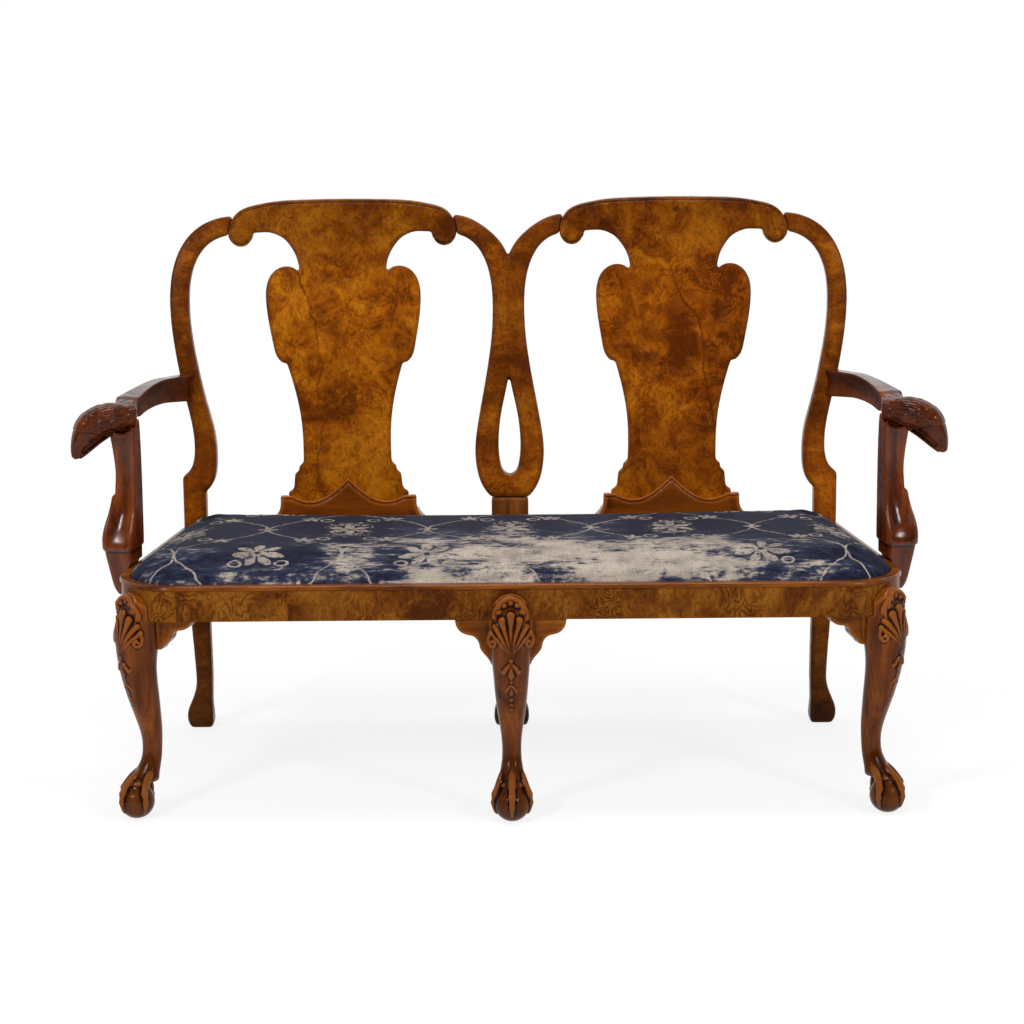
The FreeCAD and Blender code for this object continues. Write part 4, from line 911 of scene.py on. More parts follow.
def relief(across: Array, up: Array, ridges: Sequence[Ridge]) -> Array:
    """Height of a set of ridges over a face.

    Args:
        across: Places across the face.
        up: Places up the face.
        ridges: The ridges, of which the highest counts.

    Returns:
        The height at each place.
    """
    height = np.zeros(np.broadcast(across, up).shape)
    for ridge in ridges:
        pairs = list(zip(ridge.line, ridge.half))
        for (a, ra), (b, rb) in zip(pairs, pairs[1:] or pairs):
            share, gap = nearest(a, b, across, up)
            wide = ra + share * (rb - ra)
            height = np.maximum(height, ridge.rise * np.sqrt(np.maximum(wide * wide - gap, 0)))
    return height


def make_mesh(name: str, points: Array, faces: Array) -> bpy.types.Mesh:
    """Smooth-shaded Blender mesh.

    Args:
        name: Name of the mesh.
        points: Points in millimetres.
        faces: Triangles or quads between them.

    Returns:
        The mesh, in metres.
    """
    mesh = bpy.data.meshes.new(name)
    sides = faces.shape[1]
    mesh.vertices.add(len(points))
    mesh.vertices.foreach_set("co", (points * MM).astype(np.float32).ravel())
    mesh.loops.add(faces.size)
    mesh.loops.foreach_set("vertex_index", faces.astype(np.int32).ravel())
    mesh.polygons.add(len(faces))
    mesh.polygons.foreach_set("loop_start", np.arange(0, faces.size, sides, dtype=np.int32))
    mesh.polygons.foreach_set("use_smooth", np.ones(len(faces), bool))
    mesh.update(calc_edges=True)
    return mesh


def show(name: str, mesh: bpy.types.Mesh, finish: Material, slot: str, *nodes: str,
         body: Body = Body.FRAME) -> bpy.types.Object:
    """Puts a finished piece in the scene.

    Args:
        name: Name of the piece.
        mesh: Its mesh, in place.
        finish: Its material.
        slot: Material slot of the record; not used.
        nodes: CAD nodes that it stands for.
        body: Body that it rides on.

    Returns:
        The piece.
    """
    piece = bpy.data.objects.new(name, mesh)
    bpy.context.scene.collection.objects.link(piece)
    mesh.materials.clear()
    mesh.materials.append(finish)
    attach(piece, body.value)
    if nodes:
        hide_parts(*nodes)
    LOG.info("%s: %d faces", name, len(mesh.polygons))
    return piece


def show_field(name: str, carved: Field, finish: Material, slot: str, *nodes: str,
               place: Callable[[Array], Array] | None = None, flip: bool = False) -> bpy.types.Object:
    """Meshes a carved field and puts it in the scene, with its hollows as an attribute.

    Args:
        name: Name of the piece.
        carved: The field.
        finish: Its material.
        slot: Material slot of the record; not used.
        nodes: CAD nodes that it stands for.
        place: Moves points from the field's own frame to the settee's.
        flip: True where place mirrors the piece.

    Returns:
        The piece.
    """
    points, quads = carved.surface()
    hollow = carved.hollows(points)
    if place:
        points = place(points)
    if flip:
        quads = quads[:, ::-1]
    mesh = make_mesh(name, points, quads)
    mesh.attributes.new("hollow", "FLOAT", "POINT").data.foreach_set("value", hollow)
    return show(name, mesh, finish, slot, *nodes)


def loose_boxes(points: Array, triangles: Array) -> list[tuple[Array, Array]]:
    """Boxes of the loose parts of a mesh.

    Args:
        points: Points of the mesh.
        triangles: Its triangles.

    Returns:
        Lowest and highest corner of each part.
    """
    spots, joined = np.unique(np.round(points, 2), axis=0, return_inverse=True)
    corners = joined.reshape(-1)[triangles]
    label = np.arange(len(spots))
    while True:
        lowest = label[corners].min(1)
        spread = label.copy()
        for column in range(3):
            np.minimum.at(spread, corners[:, column], lowest)
        if (spread == label).all():
            break
        label = spread
    return [(spots[label == n].min(0), spots[label == n].max(0)) for n in np.unique(label)]


class GeometryTree(Tree):
    """Geometry Nodes tree that is built once and turned into a mesh."""

    kinds = {int: "NodeSocketInt", float: "NodeSocketFloat", tuple: "NodeSocketVector"}

    def __init__(self, name: str, **inputs: Any) -> None:
        """Starts a tree with named inputs.

        Args:
            name: Name of the tree.
            inputs: Value of each input: a number, a vector or a material.
        """
        self.group = bpy.data.node_groups.new(name, "GeometryNodeTree")
        super().__init__(self.group)
        face = self.group.interface
        face.new_socket("Geometry", in_out="INPUT", socket_type="NodeSocketGeometry")
        face.new_socket("Geometry", in_out="OUTPUT", socket_type="NodeSocketGeometry")
        self.values = {}
        for label, value in inputs.items():
            kind = self.kinds.get(type(value), "NodeSocketMaterial")
            self.values[face.new_socket(label, in_out="INPUT", socket_type=kind).identifier] = value
        self.source = self.nodes.new("NodeGroupInput")

    def input(self, label: str) -> Socket:
        """Socket of a named input."""
        return self.source.outputs[label]

    def bake(self, instances: Socket, finish: Socket,
             points: bpy.types.Mesh | None = None) -> bpy.types.Mesh:
        """Realizes the instances and turns them into a plain mesh.

        Args:
            instances: Socket of the instances.
            finish: Socket of their material.
            points: Mesh that the tree starts from, if any.

        Returns:
            The mesh.
        """
        whole = self.add("GeometryNodeRealizeInstances", {0: instances})
        dressed = self.add("GeometryNodeSetMaterial", {"Geometry": whole, "Material": finish})
        self.links.new(dressed, self.nodes.new("NodeGroupOutput").inputs[0])
        base = points or bpy.data.meshes.new(self.group.name)
        holder = bpy.data.objects.new(self.group.name, base)
        bpy.context.scene.collection.objects.link(holder)
        modifier = holder.modifiers.new("nodes", "NODES")
        modifier.node_group = self.group
        for identifier, value in self.values.items():
            modifier[identifier] = [float(part) for part in value] if isinstance(value, tuple) else value
        graph = bpy.context.evaluated_depsgraph_get()
        mesh = bpy.data.meshes.new_from_object(holder.evaluated_get(graph))
        holder.modifiers.remove(modifier)
        bpy.data.objects.remove(holder)
        bpy.data.meshes.remove(base)
        return mesh


def dress(finish: Material, *nodes: str) -> None:
    """Gives CAD nodes that stay as they are their material."""
    for node in nodes:
        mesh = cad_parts[node].data
        mesh.materials.clear()
        mesh.materials.append(finish)
        LOG.info("%s: CAD solid", node)


@dataclass
class ChairBacks:
    """The two joined chair backs: posts, stiles, crests, splats and their shoes.

    Attributes:
        finishes: Materials.
        step: Grid of the uprights.
        fine_step: Grid of the crests, splats and shoes.
        upright_round: Radius on the edges of posts and stiles.
        bead: Width of the bead along the crest's upper edge.
        groove: Depth of the groove inside the bead.
        crest_fill: Radius in the corners between crest and splat.
        crest_round: Radius on the edges of both.
        shoe_bead: Width of the bead on the shoe.
        shoe_groove: Depth of the groove inside it.
        bow_low: Height above which the shoe's upper edge is its cupid's bow.
        front_depth: Depth over which a groove fades in from a piece's middle to its front.
        joint: Height of the joint between splat and crest.
        lap: How far both pieces run past that joint, under one veneer.
        plug_radius: Radius of the widest hole that a wooden plug closes.
        glue_fill: Radius that fills the corners where the stiles meet.
    """

    finishes: Finishes
    step: float = 2.0
    fine_step: float = 1.6
    upright_round: float = 4.0
    bead: float = 4.6
    groove: float = 1.8
    crest_fill: float = 1.6
    crest_round: float = 2.2
    shoe_bead: float = 4.5
    shoe_groove: float = 2.2
    bow_low: float = 455.0
    front_depth: float = 4.0
    joint: float = 925.0
    lap: float = 4.0
    plug_radius: float = 7.0
    glue_fill: float = 1.4

    def build(self) -> None:
        """Builds every piece of both backs."""
        for side in Side:
            self.upright(f"{side.word}_back_post")
            self.crest_and_splat(side)
            self.shoe(side)
        self.stiles()
        self.upright("rear_centre_leg")

    def upright(self, node: str) -> None:
        """Post, stile or rear leg with rounded edges."""
        carved = Field([cad_solid(node)], self.step)
        if node.endswith("post"):
            self.plug(carved)
        carved.round_outer(self.upright_round)
        carved.blur(2)
        finish = self.finishes.rear_leg if node.endswith("leg") else self.finishes.upright
        show_field(f"{node}_shaped", carved, finish, "walnut", node)

    def stiles(self) -> None:
        """The two centre stiles, glued together where they meet."""
        nodes = {side: f"{side.word}_centre_stile" for side in Side}
        carved = Field([cad_solid(node) for node in nodes.values()], self.step)
        carved.fill_inner(self.glue_fill)
        carved.round_outer(self.upright_round)
        carved.blur(2)
        whole = carved.values
        x = carved.axes()[0]
        # The glue line shows as a faint dark seam.
        carved.tone = whole - 0.6 * self.step * smooth_step(2.5, 0.0, np.abs(x))
        for side, node in nodes.items():
            carved.values = self.drawn_in(whole, -side.value * x)
            show_field(f"{node}_shaped", carved, self.finishes.upright, "walnut", node)

    def drawn_in(self, whole: Array, past: Array) -> Array:
        """One of two pieces in a field, hidden under the other's face where it runs past their joint."""
        lapped = np.maximum(whole + 1.5 * smooth_step(0.0, self.lap, past), past - self.lap)
        return lapped.astype(np.float32)

    def plug(self, carved: Field) -> None:
        """Closes the hole over the head of an arm's screw, as a wooden plug does."""
        closed = carved.distances(*carved.surface(self.plug_radius), self.plug_radius) + self.plug_radius
        for low, high in loose_boxes(*cad_solid("arm_screws")):
            slices, _ = carved.window(low - self.plug_radius, high + self.plug_radius)
            carved.values[slices] = np.minimum(carved.values[slices], closed[slices])

    def edge_gap(self, solid: Solid, carved: Field,
                 keep: Callable[[Array, Array], Array]) -> Array:
        """Distance across the front face to the nearest kept stretch of outline.

        Args:
            solid: CAD mesh whose sides run straight back.
            carved: Field whose grid is wanted.
            keep: Picks outline faces from their middles and normals.

        Returns:
            Distance at each X and Z of the grid.
        """
        points, triangles = solid
        corners = points[triangles]
        normals = np.cross(corners[:, 1] - corners[:, 0], corners[:, 2] - corners[:, 0])
        normals /= np.maximum(np.linalg.norm(normals, axis=1), 1e-9)[:, None]
        chosen = (np.abs(normals[:, 1]) < 0.4) & keep(corners.mean(1), normals)
        ends = corners[chosen][:, :, (0, 2)]
        spread = np.linalg.norm(ends - np.roll(ends, -1, axis=1), axis=2)
        longest = spread.argmax(1)
        rows = np.arange(len(ends))
        first, second = ends[rows, longest], ends[rows, (longest + 1) % 3]
        x, _, z = carved.axes()
        x, z = x[:, 0, :], z[0, :, :]
        gap = np.full((x.shape[0], z.shape[1]), 1e6)
        for a, b in zip(first, second):
            gap = np.minimum(gap, nearest(a, b, x, z)[1])
        return np.sqrt(gap)

    def crest_and_splat(self, side: Side) -> None:
        """Crest rail, beaded along its upper edge and scrolls, and the veneered splat below it."""
        node = f"{side.word}_crest_rail"
        splat = (f"{side.word}_splat", f"{side.word}_splat_veneer")
        solid = cad_solid(node)
        carved = Field([solid] + [cad_solid(n) for n in splat], self.fine_step)
        carved.fill_inner(self.crest_fill)
        carved.round_outer(self.crest_round)
        carved.blur(1)
        self.level_joint(carved)
        low, high = solid[0].min(0), solid[0].max(0)
        middle = 0.5 * (low[0] + high[0])
        half = 0.5 * (high[0] - low[0])

        def kept(spots: Array, normals: Array) -> Array:
            """Upper edge and the ends of the scrolls."""
            return (normals[:, 2] > 0.05) | (np.abs(spots[:, 0] - middle) > half - 40)

        gap = self.edge_gap(solid, carved, kept)
        line = smooth_step(self.bead - 1.6, self.bead, gap)
        line *= smooth_step(self.bead + 2.8, self.bead + 0.6, gap)
        front = carved.front_share(0.0, self.front_depth)
        carved.lift(-self.groove * line[:, None, :] * front[None])
        whole = carved.values
        # The bead is darker than the veneer, as a hollow is.
        bead = smooth_step(self.bead + 1.0, self.bead - 1.0, gap)
        carved.tone = whole - 0.3 * self.fine_step * bead[:, None, :]
        z = carved.axes()[2]
        pieces = ((f"{node}_shaped", "walnut", (node,), 1.0),
                  (f"{side.word}_splat_panel", "burr_veneer", splat, -1.0))
        for name, slot, nodes, sign in pieces:
            carved.values = self.drawn_in(whole, sign * (self.joint - z))
            show_field(name, carved, self.finishes.splat[side], slot, *nodes)

    def level_joint(self, carved: Field) -> None:
        """Smooths the step between crest and splat upwards and downwards, as the veneer over it does."""
        height = carved.axes()[2].ravel()
        band = np.abs(height - self.joint) < 60.0
        part = carved.values[:, :, band]
        share = smooth_step(26.0, 10.0, np.abs(height[band] - self.joint))
        carved.values[:, :, band] = part + share * (blurred(part, 60, (2,)) - part)

    def shoe(self, side: Side) -> None:
        """Shoe with a bead along its cupid's bow."""
        node = f"{side.word}_splat_shoe"
        solid = cad_solid(node)
        carved = Field([solid], self.fine_step, 1.6)

        def kept(spots: Array, normals: Array) -> Array:
            """Bowed upper edge."""
            return (normals[:, 2] > 0.15) & (spots[:, 2] > self.bow_low)

        gap = self.edge_gap(solid, carved, kept)
        line = smooth_step(self.shoe_bead - 1.2, self.shoe_bead, gap)
        line *= smooth_step(self.shoe_bead + 3.0, self.shoe_bead + 0.4, gap)
        front = carved.front_share(0.0, self.front_depth)[None]
        carved.lift(-self.shoe_groove * line[:, None, :] * front)
        # Painted highlight along the bead and painted shadow in the groove below it: the tone lifts the bead
        # and sinks the groove, so the finish lightens the one and darkens the other.
        bead = smooth_step(self.shoe_bead - 1.2, self.shoe_bead - 2.6, gap)
        carved.tone = carved.values + self.fine_step * (0.5 * bead - 0.8 * line)[:, None, :] * front
        show_field(f"{node}_shaped", carved, self.finishes.shoe, "walnut", node)


@dataclass
class CarvedLeg:
    """One cabriole leg, with a shell under a hood on its knee, a pendant and a claw and ball foot.

    Heights are above the floor, and the leg is carved facing -Y about its own upright axis.

    Attributes:
        finishes: Materials.
        node: CAD node of the leg.
        origin: Plan place of the leg's axis.
        turn: Heading of its front, in degrees from -Y.
        step: Grid.
        shell_base: Height of the point that the shell's ribs spread from.
        shell_tips: Reach to the side, height and radius of each rib's tip.
        hood_height: Height of the hood's springing.
        hood_half: Half the hood's width, to the middle of its band.
        hood_rise: Rise of the hood above its springing.
        hood_band: Radius of the hood's band.
        face_half: Half the width over which the knee's front face is followed.
        foot_reach: How far the ball stands in front of the axis.
        ball: Radius of the ball.
        swell: How much fuller the leg is below its knee than the plain one.
    """

    finishes: Finishes
    node: str
    origin: tuple[float, float]
    turn: float
    step: float = 1.1
    shell_base: float = 291.0
    shell_tips: tuple[Point, ...] = (
        (0.0, 360.5, 7.4), (13.8, 352.0, 7.2), (25.0, 340.5, 6.2), (32.5, 330.0, 4.8))
    hood_height: float = 357.0
    hood_half: float = 26.5
    hood_rise: float = 30.5
    hood_band: float = 5.2
    face_half: float = 26.0
    foot_reach: float = 32.0
    ball: float = 30.5
    swell: float = 3.6

    def local(self, points: Array, back: bool = False) -> Array:
        """Points moved to the leg's own frame, or back from it."""
        angle = math.radians(self.turn)
        turn = np.eye(3)
        turn[:2, :2] = (math.cos(angle), math.sin(angle)), (-math.sin(angle), math.cos(angle))
        shift = np.array([*self.origin, 0.0])
        return (points @ turn + shift if back else (points - shift) @ turn.T).astype(np.float32)

    def face(self, carved: Field) -> Face:
        """Makes a function that gives the Y of the knee's front face at a place across and up it."""
        x, y, z = (axis.ravel() for axis in carved.axes())
        solid = carved.values < 0
        front = np.where(solid.any(1), y[solid.argmax(1)], 0.0)

        def at(across: float, up: float) -> float:
            """Y of the face, which falls back beyond the sides."""
            held = min(max(across, -self.face_half), self.face_half)
            column = round((held - x[0]) / carved.step)
            row = round((up - z[0]) / carved.step)
            patch = front[column - 2:column + 3, row - 2:row + 3]
            return float(patch[patch < -5.0].mean()) + 0.55 * abs(across - held)

        return at

    def shell(self, carved: Field, face: Face) -> None:
        """Adds the ribs of the shell, curving out from its base to rounded tips."""
        for reach, height, tip in reversed(self.shell_tips):
            for sign in (-1, 1) if reach else (1,):
                links = []
                for share in np.linspace(0.0, 1.0, 9):
                    across = sign * reach * (0.08 + 0.92 * share ** 1.3)
                    up = self.shell_base + (height - self.shell_base) * share
                    radius = 1.1 + (tip - 1.1) * share ** 1.05
                    links.append(((across, face(across, up) + 0.60 * radius - 1.8 * share, up), radius))
                carved.chain(links, 0.4)

    def hood(self, carved: Field, face: Face) -> None:
        """Adds the arched hood over the shell, with five folds inside it."""
        def spot(degrees: float, share: float, deep: float) -> Point:
            """Point so far round the arch, at a share of its size and a depth behind the face."""
            angle = math.radians(degrees)
            across = share * self.hood_half * math.cos(angle)
            up = self.hood_height + share * self.hood_rise * math.sin(angle)
            return (across, face(across, up) + deep, up)

        carved.chain([(spot(degrees, 1.0, 1.6), self.hood_band) for degrees in range(-4, 185, 8)], 1.5)
        for degrees in (24, 57, 90, 123, 156):
            carved.chain([(spot(degrees, 0.82, 3.6), 6.2)], 0.6)

    def volutes(self, carved: Field, face: Face) -> None:
        """Adds the scrolls beside the shell."""
        curl = ((35.0, 329.0), (38.0, 321.0), (37.6, 313.0), (33.0, 307.5), (27.6, 308.6), (25.8, 313.6),
                (29.2, 317.6), (32.6, 315.0))
        for sign in (-1, 1):
            links = [((sign * across, face(sign * across, up) - 1.4, up), 2.9 - 0.06 * n)
                     for n, (across, up) in enumerate(curl)]
            carved.chain(links, 0.3)

    def pendant(self) -> list[Ridge]:
        """Two bellflowers and a run of beads below the shell."""
        ridges = [Ridge(((0.0, 285.0),), (3.6,), 0.95)]
        for top, size in ((280.5, 1.0), (240.5, 0.66)):
            middle = ((0, top), (0, top - 13 * size), (0, top - 22 * size), (0, top - 32 * size))
            ridges.append(Ridge(middle, (2.4, 4.4 * size, 5.6 * size, 1.2), 0.8))
            for sign in (-1, 1):
                line = ((sign * 1.5, top - 1), (sign * 7.0 * size, top - 8 * size),
                        (sign * 12.5 * size, top - 17 * size), (sign * 16.0 * size, top - 15 * size))
                ridges.append(Ridge(line, (2.6, 4.4 * size, 3.8 * size, 2.0 * size), 0.8))
        for height, half in ((246.0, 2.8), (213.0, 3.3), (203.5, 3.0), (194.0, 2.7), (186.0, 2.2)):
            ridges.append(Ridge(((0.0, height),), (half,), 0.95))
        return ridges

    def carve_knee(self, carved: Field) -> None:
        """Cuts the niche, hood, shell, scrolls and pendant into the front of the knee."""
        face = self.face(carved)
        x, _, z = carved.axes()
        across, up = x[:, 0, :], z[0, :, :]
        niche = np.sqrt((across / 23.5) ** 2 + ((up - 353.0) / 32.0) ** 2)
        height = relief(across, up, self.pendant())
        height -= 4.2 * smooth_step(1.02, 0.84, niche) * smooth_step(340.0, 354.0, up)
        carved.lift(height[:, None, :] * carved.front_share(2.0, 9.0)[None])
        self.hood(carved, face)
        self.shell(carved, face)
        self.volutes(carved, face)

    def carve_foot(self, carved: Field) -> None:
        """Replaces the plain foot with a ball held by four knuckled talons."""
        z = carved.axes()[2]
        carved.cut(z - 62.0, 4.0)
        ahead = -self.foot_reach
        carved.chain([((0, ahead, self.ball - 0.6), self.ball)], 1.0)
        carved.chain([((0, -3, 86), 13.5), ((0, -15, 71), 15.0), ((0, -28, 56), 18.5)], 7.0)
        for heading in (0, 80, -80, 180):
            angle = math.radians(heading)
            out = np.array([math.sin(angle), -math.cos(angle)])

            def spot(lean: float, reach: float, height: float) -> Point:
                """Point on the talon: lean of the ankle, reach from its middle, height."""
                return (out[0] * reach, lean + out[1] * reach, height)

            links = [
                (spot(0, 10.0, 91), 3.2), (spot(-5, 12.5, 83), 5.8), (spot(-13, 16.2, 75), 7.0),
                (spot(-22, 21.0, 67), 6.4), (spot(-29, 25.8, 58), 5.2), (spot(ahead, 29.6, 48), 6.4),
                (spot(ahead, 31.4, 39), 4.5), (spot(ahead, 31.8, 33), 5.4), (spot(ahead, 31.5, 27), 3.8),
                (spot(ahead, 29.8, 18.5), 2.5), (spot(ahead, 27.2, 12), 1.0),
            ]
            carved.chain(links, 1.6)
        carved.values = np.maximum(carved.values, -z).astype(np.float32)

    def build(self) -> None:
        """Carves the leg and puts it in the scene."""
        points, triangles = cad_solid(self.node)
        carved = Field([(self.local(points), triangles)], self.step, 2.2)
        z = carved.axes()[2]
        carved.lift(self.swell * smooth_step(120.0, 220.0, z) * smooth_step(352.0, 300.0, z))
        carved.values = carved.distances(*carved.surface())
        self.carve_foot(carved)
        self.carve_knee(carved)
        carved.blur(1)
        show_field(f"{self.node}_carved", carved, self.finishes.leg, "walnut", self.node,
                   place=lambda spots: self.local(spots, back=True))


@dataclass
class SeatFrame:
    """Seat rails, front legs and brackets.

    Attributes:
        finishes: Materials.
        corner: Plan place of the right corner leg's axis; the left one mirrors it.
        centre: Plan place of the centre leg's axis.
        bracket_step: Grid of the brackets.
        hollow_width: Width over which a bracket flows into its leg.
        hollow_reach: Farthest that it swells there.
        peg_sides: Sides of a whittled peg.
    """

    finishes: Finishes
    corner: tuple[float, float] = (621.3, -243.3)
    centre: tuple[float, float] = (0.0, -267.5)
    bracket_step: float = 1.4
    hollow_width: float = 9.0
    hollow_reach: float = 3.0
    peg_sides: int = 8

    def build(self) -> None:
        """Builds the legs and brackets and dresses the rails."""
        CarvedLeg(self.finishes, "front_centre_leg", self.centre, 0.0).build()
        for side in Side:
            place = (side.value * self.corner[0], self.corner[1])
            CarvedLeg(self.finishes, f"{side.word}_front_leg", place, side.value * 45.0).build()
            self.bracket(f"centre_leg_{side.word}_bracket", "front_centre_leg")
            self.bracket(f"{side.word}_leg_front_bracket", f"{side.word}_front_leg")
            self.bracket(f"{side.word}_leg_side_bracket", f"{side.word}_front_leg")
        looks, sides = self.finishes, [side.word for side in Side]
        dress(looks.rail_veneer, "front_rail_veneer", *(f"{side}_corner_rail" for side in sides))
        dress(looks.backward, *(f"{side}_seat_rail" for side in sides))
        dress(looks.across, *(f"{side}_rear_rail" for side in sides))
        dress(looks.lip, "front_lip_moulding", *(f"{side}_lip_moulding" for side in sides))
        dress(looks.inner, "front_seat_rail", "seat_bearers", *(f"{side}_glue_block" for side in sides))
        dress(looks.inner_backward, "seat_cross_rail")
        self.pegs()
        dress(looks.iron, "arm_support_screws", "arm_screws")

    def pegs(self) -> None:
        """Whittled pegs through the joints, set out by Geometry Nodes."""
        boxes = loose_boxes(*cad_solid("joint_pegs"))
        points = bpy.data.meshes.new("peg_points")
        points.from_pydata([tuple(0.5 * (low + high) * MM) for low, high in boxes], [], [])
        sizes = np.array([high - low for low, high in boxes])
        axis = points.attributes.new("peg_axis", "FLOAT_VECTOR", "POINT")
        axis.data.foreach_set("vector", np.eye(3, dtype=np.float32)[sizes.argmax(1)].ravel())
        reach = points.attributes.new("peg_length", "FLOAT", "POINT")
        reach.data.foreach_set("value", (sizes.max(1) * MM).astype(np.float32))
        radius = 0.5 * float(sizes.min()) * MM
        tree = GeometryTree("joint_pegs", Sides=self.peg_sides, Radius=radius, Wood=self.finishes.backward)
        shape = {"Vertices": tree.input("Sides"), "Radius": tree.input("Radius"), "Depth": 1.0}
        peg = tree.add("GeometryNodeMeshCylinder", shape)
        heading = tree.add("GeometryNodeInputNamedAttribute", {"Name": "peg_axis"}, data_type="FLOAT_VECTOR")
        turn = tree.add("FunctionNodeAlignRotationToVector", {"Vector": heading}, axis="Z")
        length = tree.add("GeometryNodeInputNamedAttribute", {"Name": "peg_length"}, data_type="FLOAT")
        scale = tree.add("ShaderNodeCombineXYZ", {0: 1.0, 1: 1.0, 2: length})
        set_out = {"Points": tree.input("Geometry"), "Instance": peg, "Rotation": turn, "Scale": scale}
        mesh = tree.bake(tree.add("GeometryNodeInstanceOnPoints", set_out), tree.input("Wood"), points)
        show("whittled_pegs", mesh, self.finishes.backward, "walnut", "joint_pegs")

    def bracket(self, node: str, leg: str) -> None:
        """Shaped bracket with eased edges, which runs into its leg in a small hollow.

        Args:
            node: CAD node of the bracket.
            leg: CAD node of the leg that it stands beside.
        """
        carved = Field([cad_solid(node)], self.bracket_step)
        bounds = carved.values - self.hollow_reach
        carved.round_outer(1.6)
        joined = soft_min(carved.values, carved.distances(*cad_solid(leg)), self.hollow_width)
        carved.values = np.maximum(joined, bounds).astype(np.float32)
        show_field(f"{node}_shaped", carved, self.finishes.bracket, "walnut", node)


